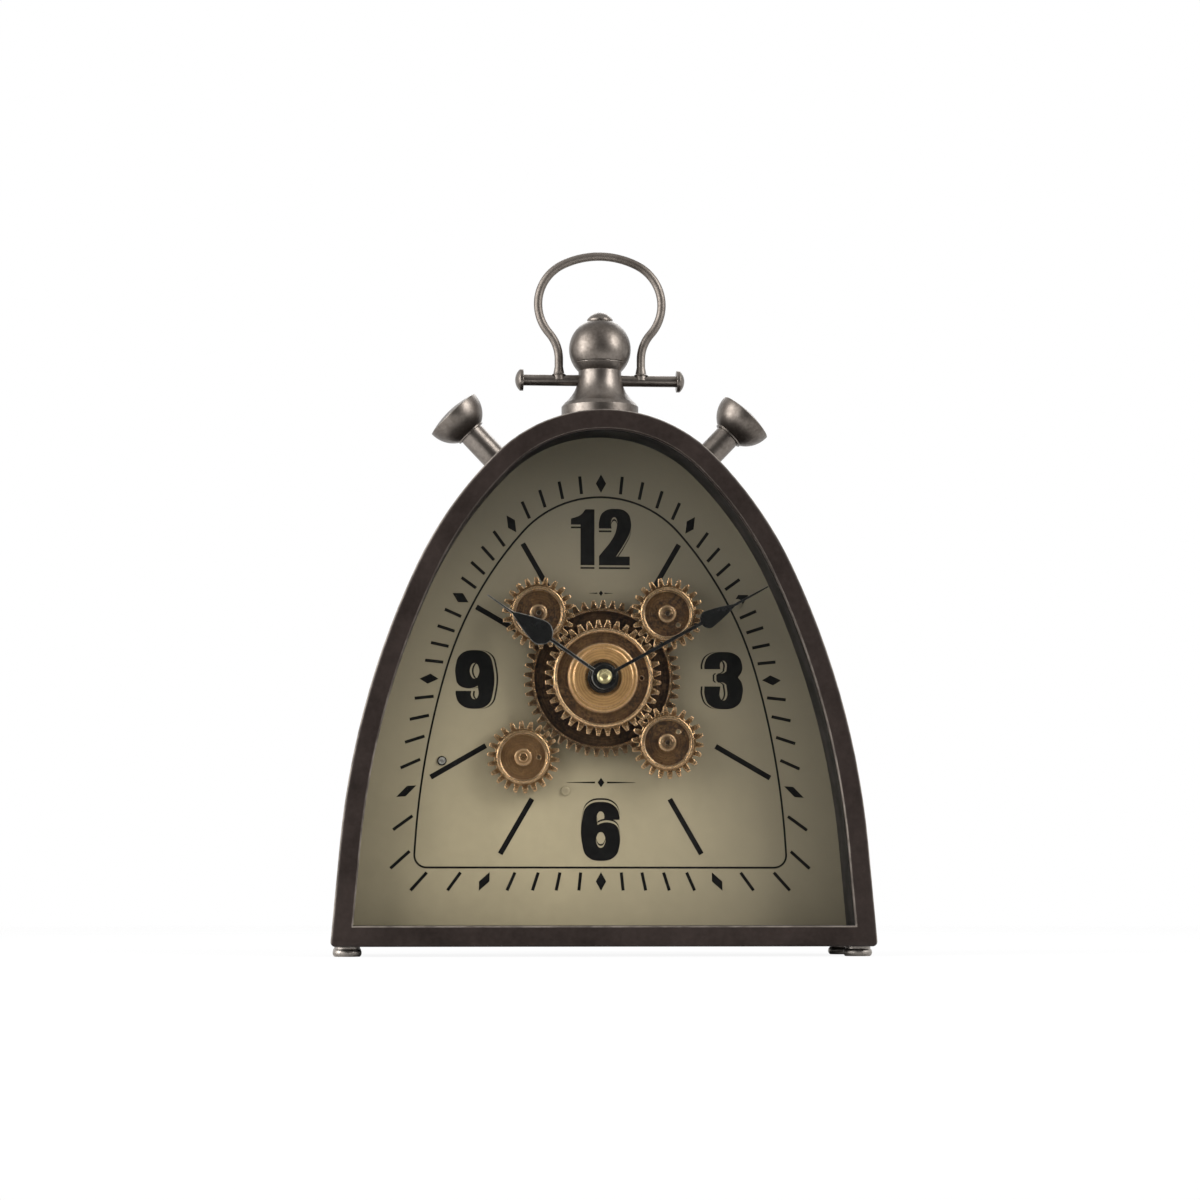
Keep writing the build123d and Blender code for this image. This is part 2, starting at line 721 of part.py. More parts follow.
# Pushers: stem saddled on the case with a threaded end inside, and a bowl on top
bowl_join = pusher_rim_height - sqrt(pusher_rim_radius**2 - pusher_stem_radius**2)
spigot_top = bowl_join + (pusher_rim_height - bowl_join) * 0.45
inner_lean = crown_radius - band_wall
pusher_nut_seat = sqrt(inner_lean**2 - nut_radius**2) - crown_radius - press_gap
for side, word in ((-1, "left"), (1, "right")):
    with BuildPart() as pusher_stem:
        with BuildSketch(pusher_plane(side, -pusher_sink)):
            Circle(pusher_stem_radius)
        extrude(amount=bowl_join + pusher_sink)
        add(case_body.part, mode=Mode.SUBTRACT)
        with BuildSketch(pusher_plane(side, pusher_nut_seat - nut_height - pusher_tip)):
            Circle(pusher_spigot_radius)
        extrude(amount=spigot_top - pusher_nut_seat + nut_height + pusher_tip)
    save(pusher_stem.part, f"pusher_stem_{word}")
    with BuildPart() as pusher_head:
        local = pusher_plane(side)
        profile_plane = Plane(origin=local.origin, x_dir=(0, 1, 0), z_dir=local.x_dir.cross(local.z_dir))
        with BuildSketch(profile_plane):
            with BuildLine():
                bead_radius = pusher_stem_radius + pusher_bead
                bead_top = pusher_rim_height - sqrt(pusher_rim_radius**2 - bead_radius**2)
                Line((0, bowl_join), (bead_radius, bowl_join))
                Line((bead_radius, bowl_join), (bead_radius, bead_top))
                RadiusArc((bead_radius, bead_top), (pusher_rim_radius, pusher_rim_height), -pusher_rim_radius)
                ThreePointArc(*dome(pusher_rim_radius, pusher_rim_height, pusher_dome))
                Line((0, pusher_rim_height + pusher_dome), (0, bowl_join))
            make_face()
        revolve(axis=Axis(local.origin, local.z_dir))
        with BuildSketch(pusher_plane(side, bowl_join)):
            Circle(pusher_spigot_radius + press_gap)
        extrude(amount=spigot_top - bowl_join + press_gap, mode=Mode.SUBTRACT)
    save(pusher_head.part, f"pusher_head_{word}")

with BuildPart() as pusher_nuts:
    for side in (-1, 1):
        with BuildSketch(pusher_plane(side, pusher_nut_seat)):
            RegularPolygon(nut_radius, 6)
            Circle(pusher_spigot_radius + press_gap, mode=Mode.SUBTRACT)
        extrude(amount=-nut_height)
save(pusher_nuts.part, "pusher_nuts")

# Gear post: screwed on the movement bush, it clamps the dial and carries the two centre gears
sleeve_front = front_plane_depth - sleeve_stand
post_step = sleeve_front - running_gap
collar_front = front_plane_depth + gear_face
with BuildPart() as gear_post:
    with BuildSketch(front_plane(dial_depth, 0, axis_height)):
        RegularPolygon(collar_radius, 6)
    extrude(amount=collar_height)
    with BuildSketch(front_plane(dial_depth, 0, axis_height)):
        Circle(post_radius)
    extrude(amount=dial_depth - post_step)
    with BuildSketch(front_plane(dial_depth, 0, axis_height)):
        Circle(post_tip_radius)
    extrude(amount=dial_depth - post_front_depth)
    with BuildSketch(front_plane(dial_depth, 0, axis_height)):
        Circle(bush_radius + press_gap)
    extrude(amount=dial_depth - bush_front_depth + post_seat, mode=Mode.SUBTRACT)
    with BuildSketch(front_plane(dial_depth, 0, axis_height)):
        Circle(hour_pipe_radius + loose_gap)
    extrude(amount=dial_depth - post_front_depth, mode=Mode.SUBTRACT)
save(gear_post.part, "gear_post")

# Washer staked on the post's front end
with BuildPart() as post_washer:
    with BuildSketch(front_plane(post_step, 0, axis_height)):
        Circle(washer_radius)
        Circle(post_tip_radius + press_gap, mode=Mode.SUBTRACT)
    extrude(amount=post_step - post_front_depth - washer_set_back)
save(post_washer.part, "post_washer")

# Sleeve that joins the two centre gears
sleeve_rear = big_plane_depth + big_face + sleeve_tail
with BuildPart() as gear_sleeve:
    with BuildSketch(front_plane(sleeve_rear, 0, axis_height)):
        Circle(sleeve_radius)
    extrude(amount=sleeve_rear - sleeve_front)
    with BuildSketch(front_plane(big_plane_depth - loose_gap, 0, axis_height)):
        Circle(collar_radius)
    extrude(amount=big_plane_depth - loose_gap - collar_front)
    with BuildSketch(front_plane(sleeve_rear, 0, axis_height)):
        Circle(post_radius + running_gap)
    extrude(amount=sleeve_rear - sleeve_front, mode=Mode.SUBTRACT)
save(gear_sleeve.part, "gear_sleeve")

# Front gear: toothed ring, double rim, dished web and a stepped boss
with BuildPart() as front_gear:
    with BuildSketch(front_plane(front_plane_depth + gear_face, 0, axis_height)):
        with BuildLine():
            Polyline(*gear_outline(front_teeth, front_phase), close=True)
        make_face()
    extrude(amount=gear_face)
    with BuildSketch(front_plane(front_plane_depth, 0, axis_height)):
        Circle(front_rim_radius)
    extrude(amount=rim_rise)
    with BuildSketch(front_plane(front_plane_depth - rim_rise, 0, axis_height)):
        Circle(front_rim_radius - rim_width)
    extrude(amount=-(rim_rise + dish_depth), mode=Mode.SUBTRACT)
    with BuildSketch(front_plane(front_plane_depth + dish_depth, 0, axis_height)):
        Circle(front_boss_radius)
    extrude(amount=dish_depth + rim_rise, taper=8)
    with BuildSketch(front_plane(front_plane_depth - rim_rise, 0, axis_height)):
        Circle(front_step_radius)
    extrude(amount=front_step_rise, taper=20)
    with BuildSketch(front_plane(front_plane_depth + dish_depth, 0, axis_height)):
        Circle(front_hole_radius)
    extrude(amount=dish_depth + rim_rise + 2 * front_step_rise, mode=Mode.SUBTRACT)
    with BuildSketch(front_plane(front_plane_depth + gear_face, 0, axis_height)):
        Circle(sleeve_radius + press_gap)
        with Locations((front_boss_radius + front_dimple_gap, 0)):
            Circle(dimple_radius)
    extrude(amount=gear_face, mode=Mode.SUBTRACT)
save(front_gear.part, "front_gear")

# Big gear behind it: toothed ring with a deep flat web
big_phase = front_phase + big_phase_lead
with BuildPart() as big_gear:
    with BuildSketch(front_plane(big_plane_depth + big_face, 0, axis_height)):
        with BuildLine():
            Polyline(*gear_outline(big_teeth, big_phase), close=True)
        make_face()
    extrude(amount=big_face)
    with BuildSketch(front_plane(big_plane_depth, 0, axis_height)):
        Circle(big_web_radius)
        Circle(collar_radius, mode=Mode.SUBTRACT)
    extrude(amount=-big_dish_depth, mode=Mode.SUBTRACT)
    with BuildSketch(front_plane(big_plane_depth, 0, axis_height)):
        Circle(collar_radius)
    extrude(amount=loose_gap - press_gap)
    with BuildSketch(front_plane(big_plane_depth + big_face, 0, axis_height)):
        Circle(sleeve_radius + press_gap)
    extrude(amount=big_face + loose_gap, mode=Mode.SUBTRACT)
save(big_gear.part, "big_gear")


# Small gears: toothed ring, raised rim, dished web and a hub
def small_gear(spot, phase, plane_depth, bore, dimple_turn):
    with BuildPart() as gear:
        with BuildSketch(front_plane(plane_depth + gear_face, *spot)):
            with BuildLine():
                Polyline(*gear_outline(idler_teeth, phase), close=True)
            make_face()
        extrude(amount=gear_face)
        with BuildSketch(front_plane(plane_depth, *spot)):
            Circle(idler_rim_radius)
        extrude(amount=rim_rise)
        with BuildSketch(front_plane(plane_depth - rim_rise, *spot)):
            Circle(idler_rim_radius - rim_width)
        extrude(amount=-(rim_rise + dish_depth), taper=10, mode=Mode.SUBTRACT)
        with BuildSketch(front_plane(plane_depth + dish_depth, *spot)):
            Circle(idler_hub_radius)
        extrude(amount=dish_depth + rim_rise * 0.6)
        with BuildSketch(front_plane(plane_depth + gear_face, *spot)):
            Circle(bore)
            with PolarLocations((idler_rim_radius + idler_hub_radius) / 2 - idler_dimple_shift, 1, start_angle=dimple_turn):
                Circle(dimple_radius)
        extrude(amount=gear_face + rim_rise, mode=Mode.SUBTRACT)
    return gear.part


idler_words = ("upper_left", "upper_right", "lower_right")
for word, spot, turn in zip(idler_words, idler_spots, idler_turns):
    phase = mesh_phase(front_phase, front_teeth, turn, idler_teeth)
    idler = small_gear(spot, phase, front_plane_depth, journal_radius + running_gap, turn * 3 + 180)
    save(idler, f"idler_{word}")

drive_phase = mesh_phase(big_phase, big_teeth, drive_turn, idler_teeth)
drive_gear = small_gear(drive_spot, drive_phase, big_plane_depth, journal_radius + press_gap, 0)
save(drive_gear, "drive_gear")

# Idler posts: shoulder, journal and a threaded tail through the dial
post_shoulder = front_plane_depth + gear_face + loose_gap
journal_front = front_plane_depth - rim_rise * 0.6 - loose_gap
with BuildPart() as idler_posts:
    for spot in idler_spots:
        with BuildSketch(front_plane(dial_depth, *spot)):
            Circle(idler_post_radius)
        extrude(amount=dial_depth - post_shoulder)
        with BuildSketch(front_plane(dial_depth, *spot)):
            Circle(journal_radius)
        extrude(amount=dial_depth - journal_front)
        with BuildSketch(front_plane(dial_depth, *spot)):
            Circle(screw_radius)
        extrude(amount=-(dial_thickness + idler_post_tail))
        with BuildSketch(front_plane(journal_front, *spot)):
            Circle(journal_radius * 0.6)
        extrude(amount=-idler_post_socket, mode=Mode.SUBTRACT)
save(idler_posts.part, "idler_posts")

with BuildPart() as idler_post_nuts:
    for spot in idler_spots:
        with BuildSketch(front_plane(dial_depth + dial_thickness, *spot)):
            RegularPolygon(post_nut_radius, 6)
            Circle(screw_radius + press_gap, mode=Mode.SUBTRACT)
        extrude(amount=-post_nut_height)
save(idler_post_nuts.part, "idler_post_nuts")

# Hollow eyelets that keep the idlers on their posts
with BuildPart() as idler_eyelets:
    for spot in idler_spots:
        with BuildSketch(front_plane(journal_front, *spot)):
            Circle(eyelet_radius)
        extrude(amount=eyelet_rise, taper=25)
        with BuildSketch(front_plane(journal_front, *spot)):
            Circle(journal_radius * 0.6 - press_gap)
        extrude(amount=-eyelet_depth)
        with BuildSketch(front_plane(journal_front - eyelet_rise, *spot)):
            Circle(journal_radius * 0.44)
        extrude(amount=-(eyelet_rise + eyelet_depth), mode=Mode.SUBTRACT)
save(idler_eyelets.part, "idler_eyelets")

# Gear drive: moulded box behind the dial with a cell in an open tray
box_front = dial_depth + dial_thickness
box_centre = (box_left + drive_box_width / 2, box_top - drive_box_height / 2)
drive_cell_spot = (box_left + drive_cell_margin + cell_length / 2, box_centre[1] - drive_cell_drop)
with BuildPart() as drive_unit:
    with BuildSketch(front_plane(box_front, *box_centre)):
        RectangleRounded(drive_box_width, drive_box_height, box_corner)
    extrude(amount=-drive_box_thickness)
    fillet(drive_unit.faces().sort_by(Axis.Y)[-1].edges(), drive_edge)
    with BuildSketch(front_plane(box_front + drive_box_thickness, *drive_cell_spot)):
        Rectangle(cell_length + cell_end_gap, 2 * cell_radius + cell_side_gap)
    extrude(amount=2 * cell_radius, mode=Mode.SUBTRACT)
    with BuildSketch(front_plane(box_front, *drive_spot)):
        Circle(journal_radius + running_gap)
    extrude(amount=-drive_shaft_socket, mode=Mode.SUBTRACT)
    for spot in drive_screw_spots:
        with BuildSketch(front_plane(box_front, *spot)):
            Circle(screw_radius + press_gap)
        extrude(amount=-drive_screw_socket, mode=Mode.SUBTRACT)
save(drive_unit.part, "drive_unit")

with BuildPart() as drive_shaft:
    with BuildSketch(front_plane(box_front + drive_shaft_tail, *drive_spot)):
        Circle(journal_radius)
    extrude(amount=box_front + drive_shaft_tail - big_plane_depth + rim_rise * 0.6)
save(drive_shaft.part, "drive_shaft")


# Dry cells: can and raised contact
def dry_cell(x, z, depth):
    with BuildPart() as cell:
        with BuildSketch(Plane(origin=(x - cell_length / 2, depth - case_depth / 2, z), z_dir=(1, 0, 0))):
            Circle(cell_radius)
        extrude(amount=cell_length - cell_contact)
        with BuildSketch(Plane(origin=(x - cell_length / 2, depth - case_depth / 2, z), z_dir=(1, 0, 0))):
            Circle(cell_radius * 0.38)
        extrude(amount=cell_length)
    return cell.part


save(dry_cell(*drive_cell_spot, box_front + drive_box_thickness - cell_radius + press_gap), "drive_cell")

# Movement: square case with its own cell tray, bush and setting knob
movement_rear = box_front + movement_thickness
tray_height = axis_height - movement_side / 2 + movement_tray_margin + cell_radius
with BuildPart() as movement_case:
    with BuildSketch(front_plane(box_front, 0, axis_height)):
        RectangleRounded(movement_side, movement_side, box_corner)
    extrude(amount=-movement_thickness)
    fillet(movement_case.faces().sort_by(Axis.Y)[-1].edges(), movement_edge)
    with BuildSketch(front_plane(movement_rear, 0, tray_height)):
        Rectangle(cell_length + cell_end_gap, 2 * cell_radius + cell_side_gap)
    extrude(amount=2 * cell_radius, mode=Mode.SUBTRACT)
    with BuildSketch(front_plane(box_front, 0, axis_height)):
        Circle(bush_radius + press_gap)
    extrude(amount=-(bush_rear_depth - box_front + press_gap), mode=Mode.SUBTRACT)
    with BuildSketch(front_plane(movement_rear, 0, axis_height + knob_offset)):
        Circle(arbor_radius + running_gap)
    extrude(amount=knob_socket, mode=Mode.SUBTRACT)
save(movement_case.part, "movement_case")
save(dry_cell(0, tray_height, movement_rear - cell_radius + press_gap), "movement_cell")

with BuildPart() as movement_bush:
    with BuildSketch(front_plane(bush_rear_depth, 0, axis_height)):
        Circle(bush_radius)
        Circle(hour_pipe_radius + running_gap, mode=Mode.SUBTRACT)
    extrude(amount=bush_rear_depth - bush_front_depth)
save(movement_bush.part, "movement_bush")

# Setting knob with finger flutes
with BuildPart() as set_knob:
    with BuildSketch(front_plane(movement_rear + knob_stand, 0, axis_height + knob_offset)):
        Circle(knob_radius)
        with PolarLocations(knob_radius + flute_stand, 10):
            Circle(flute_radius, mode=Mode.SUBTRACT)
    extrude(amount=-knob_length)
    with BuildSketch(front_plane(movement_rear + knob_stand, 0, axis_height + knob_offset)):
        Circle(arbor_radius)
    extrude(amount=knob_tail)
save(set_knob.part, "set_knob")

# Hour pipe and minute arbor, one inside the other
hour_hub_front = hour_hand_depth - hand_sheet
minute_hub_front = minute_hand_depth - hand_sheet
with BuildPart() as hour_pipe:
    with BuildSketch(front_plane(bush_rear_depth - pipe_seat, 0, axis_height)):
        Circle(hour_pipe_radius)
        Circle(arbor_radius + running_gap, mode=Mode.SUBTRACT)
    extrude(amount=bush_rear_depth - pipe_seat - hour_hub_front)
save(hour_pipe.part, "hour_pipe")

with BuildPart() as minute_arbor:
    with BuildSketch(front_plane(bush_rear_depth - arbor_seat, 0, axis_height)):
        Circle(arbor_radius)
    extrude(amount=bush_rear_depth - arbor_seat - minute_hub_front + nut_cap_length * 0.6)
save(minute_arbor.part, "minute_arbor")


# Hands: hub disc, thin stem, leaf and needle tip, cut from sheet
def hand(angle, depth, bore, length, leaf_start, leaf_end, leaf_half, roundness):
    leaf_peak = leaf_start + (leaf_end - leaf_start) * roundness
    with BuildPart() as blade:
        with BuildSketch(front_plane(depth, 0, axis_height, 90 - angle)):
            with BuildLine():
                Line((0, stem_half), (leaf_start, stem_half))
                shoulder = ThreePointArc(
                    (leaf_start, stem_half),
                    (leaf_start + (leaf_peak - leaf_start) * 0.33, leaf_half * 0.75),
                    (leaf_peak, leaf_half),
                )
                taper_arc = ThreePointArc(
                    shoulder @ 1,
                    ((leaf_peak + leaf_end) / 2, (leaf_half + stem_half) / 2 + leaf_half * 0.06),
                    (leaf_end, stem_half * 0.8),
                )
                Line(taper_arc @ 1, (length, tip_half))
                Line((length, tip_half), (length, -tip_half))
                mirror(about=Plane.XZ)
                Line((0, stem_half), (0, -stem_half))
            make_face()
            Circle(hub_radius)
            Circle(bore, mode=Mode.SUBTRACT)
        extrude(amount=hand_sheet)
        with BuildSketch(front_plane(depth, 0, axis_height)):
            Circle(hub_radius - hub_step)
            Circle(bore, mode=Mode.SUBTRACT)
        extrude(amount=-(hub_depth - hand_sheet))
    return blade.part


hour_hand = hand(
    hour_angle, hour_hand_depth, hour_pipe_radius + press_gap,
    hour_length, hour_leaf_start, hour_leaf_end, hour_leaf_half, 0.3,
)
save(hour_hand, "hour_hand")
minute_hand = hand(
    minute_angle, minute_hand_depth, arbor_radius + press_gap,
    minute_length, minute_leaf_start, minute_leaf_end, minute_leaf_half, 0.2,
)
save(minute_hand, "minute_hand")

# Hand nut: a domed brass cap on the arbor's end
with BuildPart() as hand_nut:
    with BuildSketch(front_plane(minute_hub_front, 0, axis_height)):
        Circle(nut_cap_radius)
    extrude(amount=nut_cap_length)
    fillet(hand_nut.faces().sort_by(Axis.Y)[0].edges(), nut_cap_edge)
    with BuildSketch(front_plane(minute_hub_front, 0, axis_height)):
        Circle(arbor_radius + press_gap)
    extrude(amount=nut_cap_length * 0.65, mode=Mode.SUBTRACT)
save(hand_nut.part, "hand_nut")
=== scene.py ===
import bpy
import json
from math import atan2, cos, hypot, pi, radians, sin, tan
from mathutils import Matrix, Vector


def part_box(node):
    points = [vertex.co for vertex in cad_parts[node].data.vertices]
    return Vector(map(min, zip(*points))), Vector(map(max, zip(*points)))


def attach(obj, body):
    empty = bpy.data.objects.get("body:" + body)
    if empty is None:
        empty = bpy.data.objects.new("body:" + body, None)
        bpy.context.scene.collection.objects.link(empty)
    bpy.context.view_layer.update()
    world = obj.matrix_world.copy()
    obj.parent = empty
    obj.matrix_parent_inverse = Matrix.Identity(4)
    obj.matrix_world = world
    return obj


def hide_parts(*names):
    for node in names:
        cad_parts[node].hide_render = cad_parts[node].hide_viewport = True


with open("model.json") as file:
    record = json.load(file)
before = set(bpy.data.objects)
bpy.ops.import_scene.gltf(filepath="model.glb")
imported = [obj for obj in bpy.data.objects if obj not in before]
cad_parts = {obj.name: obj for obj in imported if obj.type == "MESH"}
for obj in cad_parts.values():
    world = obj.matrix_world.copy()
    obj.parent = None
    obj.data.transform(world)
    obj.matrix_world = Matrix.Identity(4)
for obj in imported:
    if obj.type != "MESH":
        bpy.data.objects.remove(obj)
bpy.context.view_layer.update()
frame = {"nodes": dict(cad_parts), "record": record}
nodes = frame["nodes"]
slotOf = {row["node"]: row["material_slot"] for row in frame["record"]["subparts"]}
mm = 0.001
print("stage 1: frame loaded,", len(nodes), "CAD nodes")


def deselectAll():
    bpy.ops.object.select_all(action="DESELECT")


def pickOnly(obj):
    deselectAll()
    obj.select_set(True)
    bpy.context.view_layer.objects.active = obj


def settle(obj):
    # the place, turn and size go into the mesh, the object stays at the origin
    pickOnly(obj)
    bpy.ops.object.transform_apply(location=True, rotation=True, scale=True)


def joinAll(objs, name):
    pickOnly(objs[0])
    for obj in objs[1:]:
        obj.select_set(True)
    if len(objs) > 1:
        bpy.ops.object.join()
    made = bpy.context.view_layer.objects.active
    made.name = name
    made.data.name = name
    return made


def dress(obj, material):
    obj.data.materials.clear()
    obj.data.materials.append(material)


def addNode(tree, kind, **settings):
    node = tree.nodes.new(kind)
    for key, value in settings.items():
        setattr(node, key, value)
    return node


def feed(tree, source, target):
    tree.links.new(source, target)


def mathNode(tree, operation, a, b=None, clamp=False):
    node = addNode(tree, "ShaderNodeMath", operation=operation, use_clamp=clamp)
    for socket, value in zip(node.inputs, (a, b)):
        if value is None:
            continue
        if isinstance(value, (int, float)):
            socket.default_value = value
        else:
            feed(tree, value, socket)
    return node.outputs[0]


def rampNode(tree, source, low, high, fromLow=0.0, fromHigh=1.0):
    node = addNode(tree, "ShaderNodeMapRange", clamp=True)
    feed(tree, source, node.inputs["Value"])
    node.inputs["From Min"].default_value = fromLow
    node.inputs["From Max"].default_value = fromHigh
    for name, value in (("To Min", low), ("To Max", high)):
        if isinstance(value, (int, float)):
            node.inputs[name].default_value = value
        else:
            feed(tree, value, node.inputs[name])
    return node.outputs["Result"]


def mixColour(tree, factor, a, b):
    node = addNode(tree, "ShaderNodeMix", data_type="RGBA")
    for socket, value in ((node.inputs[0], factor), (node.inputs[6], a), (node.inputs[7], b)):
        if isinstance(value, (int, float)):
            socket.default_value = value
        elif isinstance(value, tuple):
            socket.default_value = (*value, 1.0)
        else:
            feed(tree, value, socket)
    return node.outputs[2]


def noiseNode(tree, vector, scale, detail=4.0, roughness=0.55):
    node = addNode(tree, "ShaderNodeTexNoise")
    feed(tree, vector, node.inputs["Vector"])
    if isinstance(scale, (int, float)):
        node.inputs["Scale"].default_value = scale
    else:
        feed(tree, scale, node.inputs["Scale"])
    node.inputs["Detail"].default_value = detail
    node.inputs["Roughness"].default_value = roughness
    return node.outputs["Fac"]


def startGroup(name, inputs, outputs):
    group = bpy.data.node_groups.new(name, "ShaderNodeTree")
    for socketName, kind, value in inputs:
        socket = group.interface.new_socket(name=socketName, in_out="INPUT", socket_type=kind)
        if value is not None:
            socket.default_value = value
    for socketName, kind in outputs:
        group.interface.new_socket(name=socketName, in_out="OUTPUT", socket_type=kind)
    return group, group.nodes.new("NodeGroupInput"), group.nodes.new("NodeGroupOutput")


def useGroup(tree, group, **values):
    node = tree.nodes.new("ShaderNodeGroup")
    node.node_tree = group
    for key, value in values.items():
        socket = node.inputs[key]
        if isinstance(value, (int, float)):
            socket.default_value = value
        elif isinstance(value, tuple):
            socket.default_value = (*value, 1.0) if len(socket.default_value) == 4 else value
        else:
            feed(tree, value, socket)
    return node


# cloudy finish: two sizes of noise give a patchy colour, a gloss that follows it and a fine height
cloudGroup, inside, outside = startGroup(
    "cloudyFinish",
    [("Vector", "NodeSocketVector", None), ("Scale", "NodeSocketFloat", 60.0), ("Dark", "NodeSocketColor", None),
     ("Light", "NodeSocketColor", None), ("Rough low", "NodeSocketFloat", 0.3), ("Rough high", "NodeSocketFloat", 0.5)],
    [("Colour", "NodeSocketColor"), ("Roughness", "NodeSocketFloat"), ("Height", "NodeSocketFloat")],
)
broad = noiseNode(cloudGroup, inside.outputs["Vector"], inside.outputs["Scale"], 5.0, 0.6)
fineScale = mathNode(cloudGroup, "MULTIPLY", inside.outputs["Scale"], 14.0)
fine = noiseNode(cloudGroup, inside.outputs["Vector"], fineScale, 3.0, 0.6)
patch = mathNode(cloudGroup, "ADD", mathNode(cloudGroup, "MULTIPLY", broad, 0.72), mathNode(cloudGroup, "MULTIPLY", fine, 0.28))
spread = rampNode(cloudGroup, patch, 0.0, 1.0, 0.36, 0.64)
feed(cloudGroup, mixColour(cloudGroup, spread, inside.outputs["Dark"], inside.outputs["Light"]), outside.inputs["Colour"])
gloss = rampNode(cloudGroup, spread, inside.outputs["Rough high"], inside.outputs["Rough low"])
feed(cloudGroup, gloss, outside.inputs["Roughness"])
feed(cloudGroup, patch, outside.inputs["Height"])

# rubbed edges and painted highlights: where the rounded normal leaves the true one the finish is worn, broken up by
# noise; on the case's fillets, the hands and the gears' rims and tips this light edge is partly a painted highlight
rubAndHighlightGroup, inside, outside = startGroup(
    "rubbedEdges",
    [("Vector", "NodeSocketVector", None), ("Radius", "NodeSocketFloat", 0.0008), ("Amount", "NodeSocketFloat", 1.0),
     ("Break", "NodeSocketFloat", 220.0), ("Fillet", "NodeSocketFloat", 0.0)],
    [("Mask", "NodeSocketFloat"), ("Normal", "NodeSocketVector")],
)
rounded = addNode(rubAndHighlightGroup, "ShaderNodeBevel", samples=6)
feed(rubAndHighlightGroup, inside.outputs["Radius"], rounded.inputs["Radius"])
trueNormal = addNode(rubAndHighlightGroup, "ShaderNodeNewGeometry")
agree = addNode(rubAndHighlightGroup, "ShaderNodeVectorMath", operation="DOT_PRODUCT")
feed(rubAndHighlightGroup, rounded.outputs["Normal"], agree.inputs[0])
feed(rubAndHighlightGroup, trueNormal.outputs["Normal"], agree.inputs[1])
edge = rampNode(rubAndHighlightGroup, agree.outputs["Value"], 1.0, 0.0, 0.86, 0.995)
crumb = noiseNode(rubAndHighlightGroup, inside.outputs["Vector"], inside.outputs["Break"], 4.0, 0.65)
crumbs = rampNode(rubAndHighlightGroup, crumb, 0.35, 1.0, 0.38, 0.6)
sides = addNode(rubAndHighlightGroup, "ShaderNodeSeparateXYZ")
feed(rubAndHighlightGroup, trueNormal.outputs["Normal"], sides.inputs[0])
lean = mathNode(rubAndHighlightGroup, "ABSOLUTE", sides.outputs["Y"])
onFillet = mathNode(rubAndHighlightGroup, "MULTIPLY", rampNode(rubAndHighlightGroup, lean, 0.0, 1.0, 0.06, 0.3),
                    rampNode(rubAndHighlightGroup, lean, 1.0, 0.0, 0.62, 0.88))
edge = mathNode(rubAndHighlightGroup, "MAXIMUM", edge, mathNode(rubAndHighlightGroup, "MULTIPLY", onFillet, inside.outputs["Fillet"]))
shadedUnderFillet = mathNode(rubAndHighlightGroup, "MULTIPLY", rampNode(rubAndHighlightGroup, sides.outputs["Z"], 1.0, 0.0, -0.38, -0.12), inside.outputs["Fillet"])
edge = mathNode(rubAndHighlightGroup, "MULTIPLY", edge, rampNode(rubAndHighlightGroup, shadedUnderFillet, 1.0, 0.0))  # a filleted edge that looks down stays painted and dark: the fillets' light line is a painted highlight, left off the sides that look down into shade
# the worn mask, partly a painted highlight on the case fillets, the hands and the gear rims
worn = mathNode(rubAndHighlightGroup, "MULTIPLY", mathNode(rubAndHighlightGroup, "MULTIPLY", edge, crumbs), inside.outputs["Amount"], clamp=True)
feed(rubAndHighlightGroup, worn, outside.inputs["Mask"])
feed(rubAndHighlightGroup, rounded.outputs["Normal"], outside.inputs["Normal"])

# cavity dirt and painted shade: dark wax or dirt that stays in corners, and painted shade darkening the same sheltered
# corners and the gear dishes inside their rims
grimeAndShadeGroup, inside, outside = startGroup(
    "cavityGrime",
    [("Vector", "NodeSocketVector", None), ("Reach", "NodeSocketFloat", 0.004), ("Amount", "NodeSocketFloat", 1.0)],
    [("Mask", "NodeSocketFloat")],
)
shelter = addNode(grimeAndShadeGroup, "ShaderNodeAmbientOcclusion", samples=6, only_local=True)
feed(grimeAndShadeGroup, inside.outputs["Reach"], shelter.inputs["Distance"])
corner = rampNode(grimeAndShadeGroup, shelter.outputs["AO"], 1.0, 0.0, 0.30, 0.92)
speckle = rampNode(grimeAndShadeGroup, noiseNode(grimeAndShadeGroup, inside.outputs["Vector"], 380.0, 4.0, 0.6), 0.55, 1.0, 0.4, 0.6)
grime = mathNode(grimeAndShadeGroup, "MULTIPLY", mathNode(grimeAndShadeGroup, "MULTIPLY", corner, speckle), inside.outputs["Amount"], clamp=True)
feed(grimeAndShadeGroup, grime, outside.inputs["Mask"])

# resting dust: a thin pale film on faces that look up
dustGroup, inside, outside = startGroup(
    "restingDust",
    [("Vector", "NodeSocketVector", None), ("Amount", "NodeSocketFloat", 0.15)],
    [("Mask", "NodeSocketFloat")],
)
facing = addNode(dustGroup, "ShaderNodeNewGeometry")
parts = addNode(dustGroup, "ShaderNodeSeparateXYZ")
feed(dustGroup, facing.outputs["Normal"], parts.inputs[0])
upward = rampNode(dustGroup, parts.outputs["Z"], 0.0, 1.0, 0.45, 1.0)
grains = rampNode(dustGroup, noiseNode(dustGroup, inside.outputs["Vector"], 900.0, 3.0, 0.7), 0.2, 1.0, 0.42, 0.62)
film = mathNode(dustGroup, "MULTIPLY", mathNode(dustGroup, "MULTIPLY", upward, grains), inside.outputs["Amount"], clamp=True)
feed(dustGroup, film, outside.inputs["Mask"])

